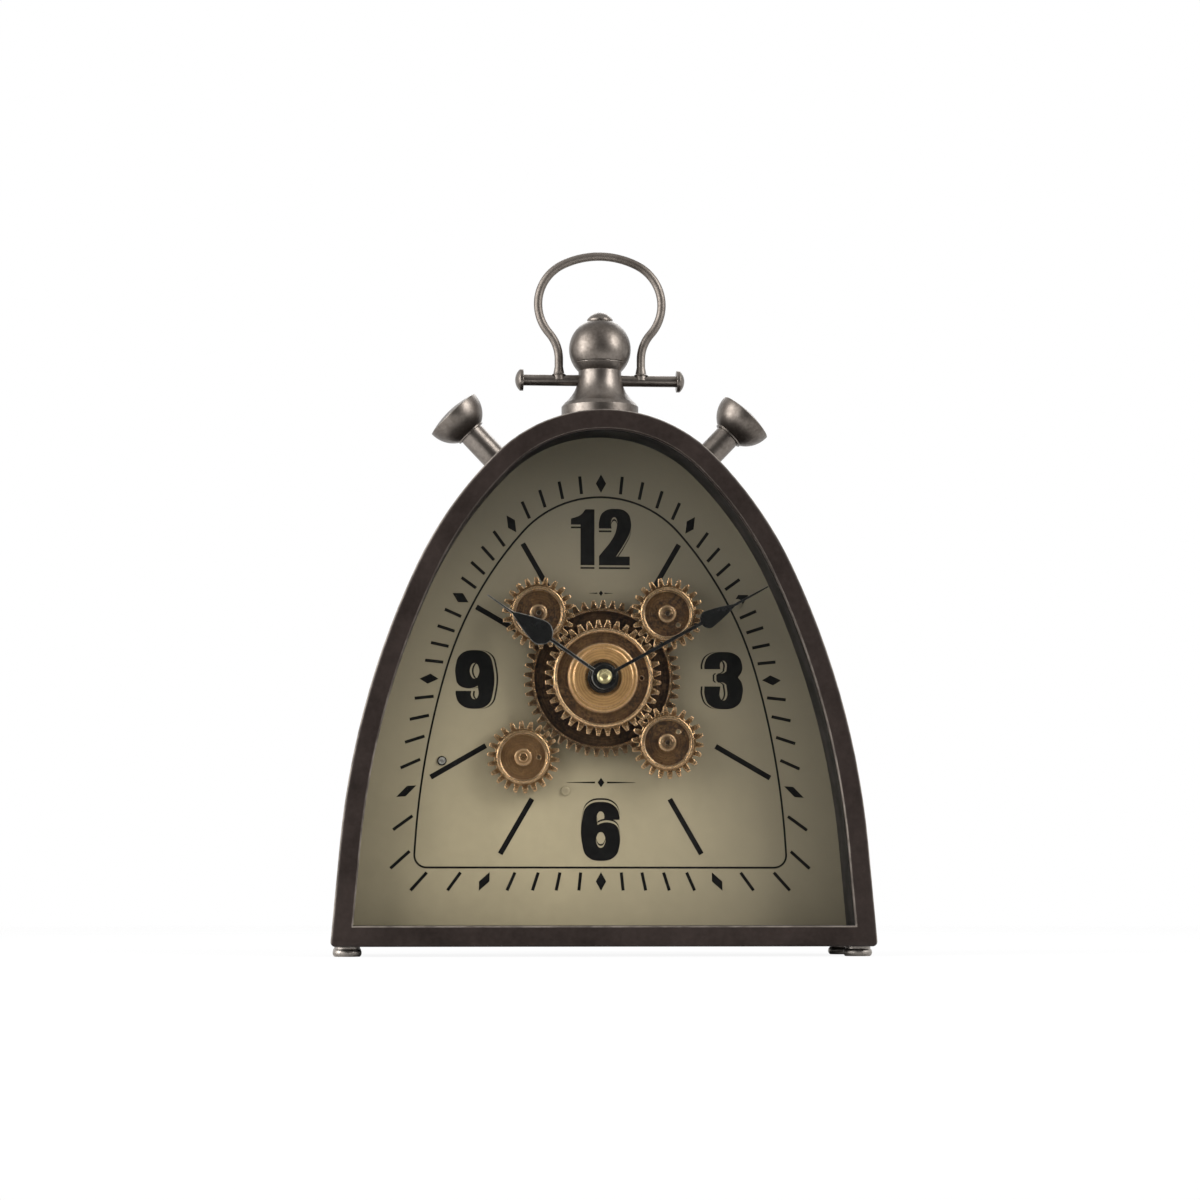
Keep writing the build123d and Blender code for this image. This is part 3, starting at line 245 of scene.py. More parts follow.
# turned patina: a gear's dish goes dark, its rim, boss edge and tooth tips are rubbed bright, and this brightness is
# partly a painted highlight
turnGroup, inside, outside = startGroup(
    "turnedPatina",
    [("Vector", "NodeSocketVector", None), ("Centre", "NodeSocketVector", None), ("Boss", "NodeSocketFloat", 0.02),
     ("Dish", "NodeSocketFloat", 0.03), ("Rim", "NodeSocketFloat", 0.0017), ("Tip", "NodeSocketFloat", 0.035),
     ("Shine", "NodeSocketFloat", 1.0)],
    [("Dark", "NodeSocketFloat"), ("Bright", "NodeSocketFloat"), ("Rings", "NodeSocketFloat"), ("Polish", "NodeSocketFloat")],
)
fromAxis = addNode(turnGroup, "ShaderNodeVectorMath", operation="SUBTRACT")
feed(turnGroup, inside.outputs["Vector"], fromAxis.inputs[0])
feed(turnGroup, inside.outputs["Centre"], fromAxis.inputs[1])
flat = addNode(turnGroup, "ShaderNodeVectorMath", operation="MULTIPLY")
feed(turnGroup, fromAxis.outputs[0], flat.inputs[0])
flat.inputs[1].default_value = (1.0, 0.0, 1.0)
reach = addNode(turnGroup, "ShaderNodeVectorMath", operation="LENGTH")
feed(turnGroup, flat.outputs[0], reach.inputs[0])
reach = reach.outputs["Value"]
pastBoss = mathNode(turnGroup, "SUBTRACT", reach, inside.outputs["Boss"])
pastDish = mathNode(turnGroup, "SUBTRACT", reach, inside.outputs["Dish"])
pastRim = mathNode(turnGroup, "SUBTRACT", pastDish, inside.outputs["Rim"])
pastTip = mathNode(turnGroup, "SUBTRACT", reach, inside.outputs["Tip"])
mottle = noiseNode(turnGroup, inside.outputs["Vector"], 420.0, 5.0, 0.7)
inDish = mathNode(turnGroup, "MULTIPLY", rampNode(turnGroup, pastBoss, 0.0, 1.0, -0.0002, 0.0008),
                  rampNode(turnGroup, pastDish, 1.0, 0.0, -0.0006, 0.0001))
handled = noiseNode(turnGroup, inside.outputs["Vector"], 52.0, 2.0, 0.5)
worn = rampNode(turnGroup, handled, 1.0, 0.45, 0.46, 0.62)  # broad patches where the dish is less dark
blotched = mathNode(turnGroup, "MULTIPLY", inDish, rampNode(turnGroup, mottle, 0.35, 1.0, 0.40, 0.58))
feed(turnGroup, mathNode(turnGroup, "MULTIPLY", blotched, worn), outside.inputs["Dark"])
satin = mathNode(turnGroup, "MULTIPLY", rampNode(turnGroup, pastBoss, 1.0, 0.0, -0.0004, 0.0003),
                 rampNode(turnGroup, mottle, 1.0, 0.7, 0.45, 0.62))
feed(turnGroup, satin, outside.inputs["Polish"])
onRim = mathNode(turnGroup, "MULTIPLY", rampNode(turnGroup, pastDish, 0.0, 1.0, -0.0003, 0.0002),
                 rampNode(turnGroup, pastRim, 1.0, 0.0, -0.0003, 0.0004))
onBoss = mathNode(turnGroup, "MULTIPLY", rampNode(turnGroup, pastBoss, 0.0, 0.7, -0.0016, -0.0005),
                  rampNode(turnGroup, pastBoss, 1.0, 0.0, -0.0002, 0.0006))
onTip = rampNode(turnGroup, pastTip, 0.0, 0.9, -0.0036, -0.0008)
bright = mathNode(turnGroup, "MAXIMUM", mathNode(turnGroup, "MAXIMUM", onRim, onBoss), onTip)
bright = mathNode(turnGroup, "MULTIPLY", bright, rampNode(turnGroup, mottle, 1.0, 0.55, 0.42, 0.62))
feed(turnGroup, mathNode(turnGroup, "MULTIPLY", bright, inside.outputs["Shine"]), outside.inputs["Bright"])
ringPitch = 0.0016  # from one turning mark to the next
wave = mathNode(turnGroup, "SINE", mathNode(turnGroup, "MULTIPLY", reach, 2 * pi / ringPitch))
feed(turnGroup, rampNode(turnGroup, wave, 0.0, 1.0, -1.0, 1.0), outside.inputs["Rings"])


def startFinish(name):
    material = bpy.data.materials.new(name)
    material.use_nodes = True
    tree = material.node_tree
    place = addNode(tree, "ShaderNodeTexCoord").outputs["Object"]
    return material, tree, tree.nodes["Principled BSDF"], place


def raiseBump(tree, shader, height, distance, rounded=None):
    bump = addNode(tree, "ShaderNodeBump")
    bump.inputs["Distance"].default_value = distance
    feed(tree, height, bump.inputs["Height"])
    if rounded:
        feed(tree, rounded, bump.inputs["Normal"])
    feed(tree, bump.outputs["Normal"], shader.inputs["Normal"])


dustLook = {"colour": (0.42, 0.40, 0.37), "rough": 0.8}


def coatedMetal(name, look, turned=None):
    # cloudy base, dirt and painted shade in the corners, worn-through metal and painted highlights on the edges, dust
    # on top, and a gear's own patina
    material, tree, shader, place = startFinish(name)
    cloud = useGroup(tree, cloudGroup, Vector=place, Scale=look["cloud"], Dark=look["dark"], Light=look["light"],
                     **{"Rough low": look["roughLow"], "Rough high": look["roughHigh"]})
    grime = useGroup(tree, grimeAndShadeGroup, Vector=place, Reach=look["grimeReach"], Amount=look["grime"])
    rub = useGroup(tree, rubAndHighlightGroup, Vector=place, Radius=look["rubRadius"], Amount=look["rub"], Break=look.get("break", 220.0),
                   Fillet=look.get("fillet", 0.0))
    dust = useGroup(tree, dustGroup, Vector=place, Amount=look["dust"])
    colour = mixColour(tree, grime.outputs["Mask"], cloud.outputs["Colour"], look["grimeColour"])
    bareAndHighlit = rub.outputs["Mask"]
    height = cloud.outputs["Height"]
    if turned:
        patina = useGroup(tree, turnGroup, Vector=place, **turned)
        colour = mixColour(tree, patina.outputs["Polish"], colour, look["polish"])
        marks = mathNode(tree, "MULTIPLY", patina.outputs["Rings"], look["groove"], clamp=True)
        colour = mixColour(tree, marks, colour, look["patina"])
        colour = mixColour(tree, patina.outputs["Dark"], colour, look["patina"])
        bareAndHighlit = mathNode(tree, "MAXIMUM", bareAndHighlit, patina.outputs["Bright"])
        height = mathNode(tree, "ADD", height, mathNode(tree, "MULTIPLY", patina.outputs["Rings"], look["rings"]))
    colour = mixColour(tree, bareAndHighlit, colour, look["rubColour"])
    colour = mixColour(tree, dust.outputs["Mask"], colour, dustLook["colour"])
    feed(tree, colour, shader.inputs["Base Color"])
    rough = cloud.outputs["Roughness"]
    if turned:
        satin = mathNode(tree, "MAXIMUM", patina.outputs["Polish"], patina.outputs["Dark"])
        rough = rampNode(tree, satin, rough, look["satinRough"])
    rough = rampNode(tree, bareAndHighlit, rough, look["rubRough"])
    rough = rampNode(tree, dust.outputs["Mask"], rough, dustLook["rough"])
    feed(tree, rough, shader.inputs["Roughness"])
    shader.inputs["Metallic"].default_value = look["metallic"]
    shader.inputs["Specular IOR Level"].default_value = look.get("specular", 0.5)
    raiseBump(tree, shader, height, look["bump"], rub.outputs["Normal"])
    return material


# the case's light lines along its rounded fillets are wear and partly a painted highlight
caseLook = {
    "dark": (0.013, 0.0088, 0.0072), "light": (0.029, 0.0212, 0.0186), "cloud": 26.0, "roughLow": 0.36, "roughHigh": 0.5,
    "grime": 0.6, "grimeReach": 0.004, "grimeColour": (0.006, 0.005, 0.0045), "rub": 0.8, "rubRadius": 0.0010, "fillet": 1.0,
    "break": 75.0, "rubColour": (0.30, 0.262, 0.226), "rubRough": 0.34, "dust": 0.04, "metallic": 0.08, "bump": 0.00006,
    "specular": 0.10,
}
revealLook = {
    "dark": (0.0065, 0.0056, 0.0052), "light": (0.014, 0.012, 0.011), "cloud": 40.0, "roughLow": 0.5, "roughHigh": 0.65,
    "grime": 0.3, "grimeReach": 0.004, "grimeColour": (0.005, 0.004, 0.004), "rub": 0.15, "rubRadius": 0.0006,
    "rubColour": (0.08, 0.07, 0.06), "rubRough": 0.4, "dust": 0.02, "metallic": 0.0, "bump": 0.00004, "specular": 0.12,
}
pewterLook = {
    "dark": (0.094, 0.080, 0.069), "light": (0.215, 0.189, 0.166), "cloud": 34.0, "roughLow": 0.34, "roughHigh": 0.44,
    "grime": 0.85, "grimeReach": 0.006, "grimeColour": (0.030, 0.024, 0.020), "rub": 0.4, "rubRadius": 0.0005,
    "rubColour": (0.42, 0.375, 0.33), "rubRough": 0.34, "dust": 0.03, "metallic": 1.0, "bump": 0.00004,
}
steelLook = {
    "dark": (0.36, 0.35, 0.34), "light": (0.56, 0.55, 0.53), "cloud": 120.0, "roughLow": 0.24, "roughHigh": 0.38,
    "grime": 0.5, "grimeReach": 0.002, "grimeColour": (0.10, 0.09, 0.08), "rub": 0.4, "rubRadius": 0.0003,
    "rubColour": (0.75, 0.74, 0.72), "rubRough": 0.2, "dust": 0.03, "metallic": 1.0, "bump": 0.00002,
}
copperLook = {
    "dark": (0.135, 0.068, 0.030), "light": (0.42, 0.224, 0.095), "cloud": 110.0, "roughLow": 0.20, "roughHigh": 0.34,
    "grime": 1.0, "grimeReach": 0.0060, "grimeColour": (0.020, 0.012, 0.009), "rub": 0.9, "rubRadius": 0.0009,
    "rubColour": (0.90, 0.59, 0.33), "rubRough": 0.22, "dust": 0.02, "metallic": 1.0, "bump": 0.00012,
    "patina": (0.056, 0.036, 0.025), "polish": (0.50, 0.285, 0.115), "satinRough": 0.44, "rings": 0.45, "groove": 0.28,
}
brassLook = {
    "dark": (0.34, 0.28, 0.135), "light": (0.50, 0.43, 0.235), "cloud": 160.0, "roughLow": 0.24, "roughHigh": 0.36,
    "grime": 0.4, "grimeReach": 0.001, "grimeColour": (0.18, 0.14, 0.06), "rub": 0.5, "rubRadius": 0.0004,
    "rubColour": (0.84, 0.77, 0.52), "rubRough": 0.25, "dust": 0.02, "metallic": 0.9, "bump": 0.00002,
}
# the light line along the black hands' edges is a painted highlight
handLook = {
    "dark": (0.004, 0.004, 0.004), "light": (0.008, 0.0078, 0.0075), "cloud": 120.0, "roughLow": 0.2, "roughHigh": 0.3,
    "grime": 0.2, "grimeReach": 0.001, "grimeColour": (0.003, 0.003, 0.003), "rub": 1.0, "rubRadius": 0.0009,
    "rubColour": (0.40, 0.375, 0.34), "rubRough": 0.3, "dust": 0.01, "metallic": 0.2, "bump": 0.00002, "specular": 0.4,
}
plasticLook = {
    "dark": (0.010, 0.010, 0.0105), "light": (0.018, 0.018, 0.019), "cloud": 300.0, "roughLow": 0.45, "roughHigh": 0.6,
    "grime": 0.2, "grimeReach": 0.003, "grimeColour": (0.006, 0.006, 0.006), "rub": 0.35, "rubRadius": 0.0005,
    "rubColour": (0.05, 0.05, 0.05), "rubRough": 0.4, "dust": 0.08, "metallic": 0.0, "bump": 0.00005,
}
wrapLook = {
    "dark": (0.030, 0.050, 0.075), "light": (0.045, 0.070, 0.105), "cloud": 90.0, "roughLow": 0.2, "roughHigh": 0.3,
    "grime": 0.3, "grimeReach": 0.002, "grimeColour": (0.02, 0.025, 0.03), "rub": 0.4, "rubRadius": 0.0004,
    "rubColour": (0.20, 0.23, 0.26), "rubRough": 0.25, "dust": 0.05, "metallic": 0.0, "bump": 0.00002,
}
inkLook = {
    "dark": (0.0035, 0.0032, 0.003), "light": (0.007, 0.0065, 0.006), "cloud": 200.0, "roughLow": 0.5, "roughHigh": 0.62,
    "grime": 0.0, "grimeReach": 0.001, "grimeColour": (0.01, 0.01, 0.01), "rub": 0.0, "rubRadius": 0.0002,
    "rubColour": (0.05, 0.05, 0.05), "rubRough": 0.5, "dust": 0.01, "metallic": 0.0, "bump": 0.00001, "specular": 0.05,
}
screwLook = {**steelLook, "dark": (0.20, 0.185, 0.165), "light": (0.40, 0.375, 0.34), "roughLow": 0.4, "roughHigh": 0.55,
             "grime": 0.7}
eyeletLook = {**steelLook, "dark": (0.060, 0.036, 0.021), "light": (0.17, 0.104, 0.058), "grime": 0.9, "grimeReach": 0.0025,
              "rubColour": (0.50, 0.37, 0.24)}
footLook = {**pewterLook, "dark": (0.20, 0.178, 0.158), "light": (0.36, 0.328, 0.295), "roughLow": 0.36, "roughHigh": 0.48}
sleeveLook = {**steelLook, "dark": (0.030, 0.025, 0.021), "light": (0.060, 0.050, 0.042), "rubColour": (0.30, 0.27, 0.23)}
finishes = {
    "case_paint": coatedMetal("casePaint", caseLook),
    "reveal_paint": coatedMetal("revealPaint", revealLook),
    "pewter": coatedMetal("agedPewter", pewterLook),
    "steel": coatedMetal("plainSteel", steelLook),
    "gear_copper": coatedMetal("agedCopper", copperLook),
    "brass": coatedMetal("brightBrass", brassLook),
    "hand_black": coatedMetal("handBlack", handLook),
    "box_plastic": coatedMetal("mouldedPlastic", plasticLook),
    "cell_wrap": coatedMetal("cellWrap", wrapLook),
}
dialInk = coatedMetal("dialInk", inkLook)

# dial paint: khaki, with painted light lightest below the gears and painted shade darkening towards the edges
dialLook = {
    "dark": (0.310, 0.258, 0.162), "light": (0.372, 0.310, 0.195), "shade": (0.128, 0.109, 0.076),
    "glow": (-0.060, 0.0, 0.046), "spread": (0.235, 0.230), "fade": (0.14, 0.98), "rough": 0.55, "specular": 0.2,
    "cloud": 9.0, "grain": 2600.0, "bump": 0.00002,
}


def paintDial(look):
    material, tree, shader, place = startFinish("dialPaint")
    cloud = useGroup(tree, cloudGroup, Vector=place, Scale=look["cloud"], Dark=look["dark"], Light=look["light"],
                     **{"Rough low": look["rough"] - 0.04, "Rough high": look["rough"] + 0.06})
    away = addNode(tree, "ShaderNodeVectorMath", operation="SUBTRACT")
    feed(tree, place, away.inputs[0])
    away.inputs[1].default_value = look["glow"]
    squeezed = addNode(tree, "ShaderNodeVectorMath", operation="MULTIPLY")
    feed(tree, away.outputs[0], squeezed.inputs[0])
    squeezed.inputs[1].default_value = (1 / look["spread"][0], 0.0, 1 / look["spread"][1])
    far = addNode(tree, "ShaderNodeVectorMath", operation="LENGTH")
    feed(tree, squeezed.outputs[0], far.inputs[0])
    # painted shade: the paint darkens with distance from the painted light below the gears
    fade = rampNode(tree, far.outputs["Value"], 0.0, 1.0, *look["fade"])
    colour = mixColour(tree, fade, cloud.outputs["Colour"], look["shade"])
    feed(tree, colour, shader.inputs["Base Color"])
    feed(tree, cloud.outputs["Roughness"], shader.inputs["Roughness"])
    shader.inputs["Specular IOR Level"].default_value = look["specular"]
    raiseBump(tree, shader, noiseNode(tree, place, look["grain"], 2.0), look["bump"])
    return material


finishes["dial_paint"] = paintDial(dialLook)


def blowGlass():
    # clear pane: lets lamp light through, mirrors by its own gloss, faint smears in the roughness
    material, tree, shader, place = startFinish("clearPane")
    shader.inputs["Base Color"].default_value = (0.96, 0.98, 0.97, 1.0)
    shader.inputs["Transmission Weight"].default_value = 1.0
    shader.inputs["IOR"].default_value = 1.45
    smear = rampNode(tree, noiseNode(tree, place, 14.0, 5.0, 0.6), 0.0, 0.03, 0.5, 0.75)
    feed(tree, smear, shader.inputs["Roughness"])
    clear = addNode(tree, "ShaderNodeBsdfTransparent")
    path = addNode(tree, "ShaderNodeLightPath")
    through = addNode(tree, "ShaderNodeMixShader")
    either = mathNode(tree, "MAXIMUM", path.outputs["Is Shadow Ray"], path.outputs["Is Diffuse Ray"])
    feed(tree, either, through.inputs[0])
    feed(tree, shader.outputs[0], through.inputs[1])
    feed(tree, clear.outputs[0], through.inputs[2])
    feed(tree, through.outputs[0], tree.nodes["Material Output"].inputs["Surface"])
    return material


finishes["clear_glass"] = blowGlass()
for name, obj in nodes.items():
    dress(obj, finishes[slotOf[name]])

# each gear wears its copper by its own axis: boss, dish and rim in metres from it
smallWear = {"Boss": 0.005, "Dish": 0.0145, "Rim": 0.0017, "Shine": 0.75}
gearWear = {
    "front_gear": {"Boss": 0.0213, "Dish": 0.0285, "Rim": 0.0017, "Shine": 1.0},
    # the big gear's rubbed brightness is kept low, painted shade for lying behind the front gear
    "big_gear": {"Boss": 0.0, "Dish": 0.0420, "Rim": 0.0012, "Shine": 0.25},
    "idler_upper_left": smallWear, "idler_upper_right": smallWear, "idler_lower_right": smallWear, "drive_gear": smallWear,
}
gearLooks = {
    # the big gear's copper is a darker copy, painted shade for its place behind the front gear
    "big_gear": {**copperLook, "dark": (0.060, 0.034, 0.019), "light": (0.20, 0.115, 0.058), "patina": (0.026, 0.017, 0.013)},
    "drive_gear": {**copperLook, "patina": (0.165, 0.092, 0.044), "polish": (0.25, 0.140, 0.066)},
}
for name in ("idler_upper_left", "idler_upper_right", "idler_lower_right"):
    gearLooks[name] = {**copperLook, "patina": (0.044, 0.029, 0.021), "polish": (0.105, 0.066, 0.040)}
for name, wear in gearWear.items():
    low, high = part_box(name)
    turned = {**wear, "Centre": tuple((low + high) / 2), "Tip": (high.z - low.z) / 2}
    dress(nodes[name], coatedMetal(name + "Copper", gearLooks.get(name, copperLook), turned))
dress(nodes["drive_shaft"], finishes["gear_copper"])  # the driven gear's pin end is coppered with its boss
# the thin light line on the dark sleeve's and washer's edges is partly a painted highlight
darkSleeve = coatedMetal("darkSleeve", sleeveLook)
for name in ("gear_sleeve", "post_washer"):
    dress(nodes[name], darkSleeve)
footPewter = coatedMetal("footPewter", footLook)
for name in ("foot_front_left", "foot_front_right", "foot_back_left", "foot_back_right"):
    dress(nodes[name], footPewter)
bowLook = {**pewterLook, "rub": 0.0, "roughLow": 0.44, "roughHigh": 0.52}  # a drawn wire has no edges to rub
dress(nodes["handle_bow"], coatedMetal("bowWire", bowLook))
# the minute hand gets a fainter painted edge highlight
dress(nodes["minute_hand"], coatedMetal("minuteBlack", {**handLook, "rub": 0.35, "rubRadius": 0.0004}))
print("stage 2: finishes on", len(nodes), "nodes")

dialPrint = {
    "face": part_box("dial_plate")[0].y, "axisZ": 0.1695, "footHeight": 0.006,
    "arcs": ((0.1124, 48.7), (0.2734, 25.3), (0.5435, 12.4)),
    "skirt": 0.0656, "lineInset": 0.0478, "lineWidth": 0.0012, "lineCorner": 0.0075, "tickInner": 0.0448, "tickOuter": 0.0338,
    "tickWidth": 0.0019, "lozengeHalf": 0.0032, "lozengeOver": 0.0002, "barLength": 0.039, "barWidth": 0.0032,
    "barEnds": {1: 0.097, 2: 0.089, 4: 0.121, 5: 0.124, 7: 0.124, 8: 0.121, 10: 0.089, 11: 0.097},
    "ink": 0.00008, "rayRange": (0.02, 0.30), "arcSteps": 12, "cornerSteps": 8,
}


def archArcs():
    # centre, radius and first and last lean of each arc of the right-hand outline
    rows = []
    lean = fall = 0.0
    for radius, sweep in dialPrint["arcs"]:
        fall += radius * (cos(radians(lean)) - cos(radians(lean + sweep)))
        lean += sweep
    lean = 0.0
    point = Vector((0.0, dialPrint["footHeight"] + dialPrint["skirt"] + fall))
    for radius, sweep in dialPrint["arcs"]:
        out = Vector((sin(radians(lean)), cos(radians(lean))))
        centre = point - out * radius
        rows.append((centre, radius, lean, lean + sweep))
        lean += sweep
        point = centre + Vector((sin(radians(lean)), cos(radians(lean)))) * radius
    return rows, point, lean


arcRows, skirtTop, skirtLean = archArcs()


def insetAt(x, z):
    # how far a point lies inside the outline that the print follows
    spot = Vector((abs(x), z))
    best = z - dialPrint["footHeight"]
    for centre, radius, first, last in arcRows:
        ray = spot - centre
        lean = atan2(ray.x, ray.y) * 180 / pi
        if first <= lean <= last:
            best = min(best, radius - ray.length)
    out = Vector((sin(radians(skirtLean)), cos(radians(skirtLean))))
    return min(best, (skirtTop - spot).dot(out)) if spot.y < skirtTop.y else best


def rayOut(angle, inset):
    # point on the ray from the hand axis, clockwise from twelve, at that inset
    low, high = dialPrint["rayRange"]
    for _ in range(40):
        middle = (low + high) / 2
        if insetAt(middle * sin(angle), dialPrint["axisZ"] + middle * cos(angle)) > inset:
            low = middle
        else:
            high = middle
    return Vector((low * sin(angle), dialPrint["axisZ"] + low * cos(angle)))


def inkQuad(corners, name):
    # a square sheet pulled to four corners on the face of the dial
    deselectAll()
    bpy.ops.mesh.primitive_plane_add(size=1, location=(0, 0, 0))
    quad = bpy.context.active_object
    for vertex, corner in zip((0, 1, 3, 2), corners):
        quad.data.vertices[vertex].co = (corner.x, dialPrint["face"], corner.y)
    quad.name = name
    return quad


def thicken(obj, depth):
    # the flat print rises towards the viewer by its ink
    pickOnly(obj)
    bpy.ops.object.mode_set(mode="EDIT")
    bpy.ops.mesh.select_all(action="SELECT")
    bpy.ops.mesh.extrude_region_move(TRANSFORM_OT_translate={"value": (0, -depth, 0)})
    bpy.ops.mesh.select_all(action="SELECT")
    bpy.ops.mesh.normals_make_consistent(inside=False)
    bpy.ops.object.mode_set(mode="OBJECT")


def stroke(start, end, width, name):
    side = (end - start).normalized()
    side = Vector((-side.y, side.x)) * width / 2
    return inkQuad((start - side, end - side, end + side, start + side), name)


def layPrint(obj, material=dialInk):
    settle(obj)
    dress(obj, material)
    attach(obj, "case")


ticks, lozenges = [], []
for minute in range(60):
    angle = 2 * pi * minute / 60
    inner, outer = rayOut(angle, dialPrint["tickInner"]), rayOut(angle, dialPrint["tickOuter"])
    if minute % 5:
        ticks.append(stroke(inner, outer, dialPrint["tickWidth"], "tick"))
        continue
    middle = (inner + outer) / 2
    reach = (outer - inner).normalized() * dialPrint["lozengeOver"]
    step = 0.0005
    slope = Vector((insetAt(middle.x + step, middle.y) - insetAt(middle.x - step, middle.y),
                    insetAt(middle.x, middle.y + step) - insetAt(middle.x, middle.y - step)))
    along = Vector((-slope.y, slope.x)).normalized() * dialPrint["lozengeHalf"]
    lozenges.append(inkQuad((inner - reach, middle - along, outer + reach, middle + along), "lozenge"))
minuteTrack = joinAll(ticks, "minuteTrack")
thicken(minuteTrack, dialPrint["ink"])
layPrint(minuteTrack)
fiveTrack = joinAll(lozenges, "fiveMinuteLozenges")
thicken(fiveTrack, dialPrint["ink"])
layPrint(fiveTrack)

bars = []
for hour, end in dialPrint["barEnds"].items():
    angle = 2 * pi * hour / 12
    ray = Vector((sin(angle), cos(angle)))
    axis = Vector((0, dialPrint["axisZ"]))
    bars.append(stroke(axis + ray * (end - dialPrint["barLength"]), axis + ray * end, dialPrint["barWidth"], "bar"))
hourBars = joinAll(bars, "hourBars")
thicken(hourBars, dialPrint["ink"])
layPrint(hourBars)


def archLoop(inset, corner):
    # outline points at an inset, clockwise from the crown, with round lower corners
    half = []
    for centre, radius, first, last in arcRows:
        for step in range(dialPrint["arcSteps"]):
            lean = radians(first + (last - first) * step / dialPrint["arcSteps"])
            half.append(centre + Vector((sin(lean), cos(lean))) * (radius - inset))
    out = Vector((sin(radians(skirtLean)), cos(radians(skirtLean))))
    knee = skirtTop - out * inset
    half.append(knee)
    base = dialPrint["footHeight"] + inset
    down = Vector((out.y, -out.x))
    heel = knee + down * ((knee.y - base) / -down.y)
    turn = radians(180 - skirtLean) / 2
    cut = corner * tan(turn)
    centre = heel - down * cut - out * corner
    for step in range(dialPrint["cornerSteps"] + 1):
        lean = radians(skirtLean + (180 - skirtLean) * step / dialPrint["cornerSteps"])
        half.append(centre + Vector((sin(lean), cos(lean))) * corner)
    return half + [Vector((-p.x, p.y)) for p in reversed(half[1:])]


def ringLoop(points):
    deselectAll()
    bpy.ops.mesh.primitive_circle_add(vertices=len(points), radius=0.1, fill_type="NOTHING")
    loop = bpy.context.active_object
    for vertex, point in zip(loop.data.vertices, points):
        vertex.co = (point.x, dialPrint["face"], point.y)
    return loop


def inkRing(inset, width, corner, name):
    ring = joinAll([ringLoop(archLoop(inset - width / 2, corner + width / 2)),
                    ringLoop(archLoop(inset + width / 2, corner - width / 2))], name)
    pickOnly(ring)
    bpy.ops.object.mode_set(mode="EDIT")
    bpy.ops.mesh.select_all(action="SELECT")
    bpy.ops.mesh.bridge_edge_loops()
    bpy.ops.object.mode_set(mode="OBJECT")
    thicken(ring, dialPrint["ink"])
    return ring


chapterLine = inkRing(dialPrint["lineInset"], dialPrint["lineWidth"], dialPrint["lineCorner"], "chapterLine")
layPrint(chapterLine)
print("stage 3: minute track, bars and chapter line printed")

# numerals: contours in millimetres, s is a round point and c a corner, holes after the outline
sixShape = [
    [(11.4, 0, "s"), (3.0, 2.6, "s"), (0, 9.5, "s"), (0, 26.5, "s"), (3.0, 33.6, "s"), (11.4, 36.2, "s"), (20.0, 33.5, "s"),
     (22.9, 27.2, "s"), (22.9, 25.2, "c"), (13.3, 25.2, "c"), (13.3, 28.7, "s"), (11.3, 30.3, "s"), (9.3, 28.7, "s"),
     (9.3, 22.0, "c"), (11.6, 23.1, "s"), (16.6, 23.5, "s"), (21.2, 21.3, "s"), (22.9, 16.6, "s"), (22.9, 9.5, "s"),
     (20.0, 2.7, "s")],
    [(9.3, 9.4, "s"), (9.3, 16.2, "s"), (11.3, 17.6, "s"), (13.3, 16.2, "s"), (13.3, 9.4, "s"), (11.3, 8.0, "s")],
]
numerals = {
    "twelve": {
        "shapes": [
            [[(5.95, 0, "c"), (14.6, 0, "c"), (14.6, 34.8, "c"), (9.0, 34.8, "c"), (5.9, 31.2, "s"), (0, 28.9, "c"),
              (0, 25.2, "c"), (5.95, 25.2, "c")]],
            [[(17.4, 0, "c"), (36.5, 0, "c"), (36.5, 5.5, "c"), (28.0, 5.5, "c"), (33.4, 14.0, "s"), (36.8, 21.2, "s"),
              (37.3, 27.0, "s"), (34.8, 33.0, "s"), (27.6, 35.2, "s"), (20.0, 33.0, "s"), (17.4, 26.8, "s"), (17.4, 22.9, "c"),
              (25.2, 22.9, "c"), (25.2, 28.3, "s"), (26.9, 30.0, "s"), (28.5, 28.3, "s"), (28.4, 23.5, "s"), (26.6, 18.0, "s"),
              (17.4, 5.6, "c")]],
        ],
        "centre": (0.0, 258.0), "size": (37.3, 35.2), "drop": (0.0, -1.0),
    },
    "three": {
        "shapes": [[
            [(11.8, 0, "s"), (3.0, 2.6, "s"), (0, 8.8, "s"), (0, 14.1, "c"), (9.9, 14.1, "c"), (9.9, 6.9, "s"), (11.75, 5.4, "s"),
             (13.6, 6.9, "s"), (13.6, 15.2, "c"), (11.6, 16.5, "s"), (8.6, 16.5, "c"), (7.4, 17.7, "c"), (7.4, 21.1, "c"),
             (8.6, 22.3, "c"), (11.6, 22.3, "s"), (13.6, 23.6, "c"), (13.6, 28.6, "s"), (11.75, 30.1, "s"), (9.9, 28.6, "s"),
             (9.9, 24.8, "c"), (0, 24.8, "c"), (0, 27.6, "s"), (3.0, 33.2, "s"), (11.8, 35.5, "s"), (20.8, 33.0, "s"),
             (23.5, 27.2, "s"), (23.2, 23.4, "s"), (20.9, 19.8, "c"), (23.3, 16.0, "s"), (23.6, 9.0, "s"), (20.8, 2.6, "s")],
        ]],
        "centre": (76.0, 169.2), "size": (23.6, 35.5), "drop": (-1.0, 0.0),
    },
    "six": {"shapes": [sixShape], "centre": (0.0, 76.0), "size": (22.9, 36.2), "drop": (0.0, 1.0)},
    "nine": {
        "shapes": [[[(22.9 - x, 36.2 - z, kind) for x, z, kind in contour] for contour in sixShape]],
        "centre": (-78.2, 169.2), "size": (22.9, 36.2), "drop": (1.0, 0.0),
    },
}
numeralLayers = (  # how far the layer slips towards the hands, its ink height and its finish
    ("Echo", 2.3, 0.00004, dialInk), ("Gap", 1.2, 0.00006, finishes["dial_paint"]), ("", 0.0, 0.0001, dialInk),
)


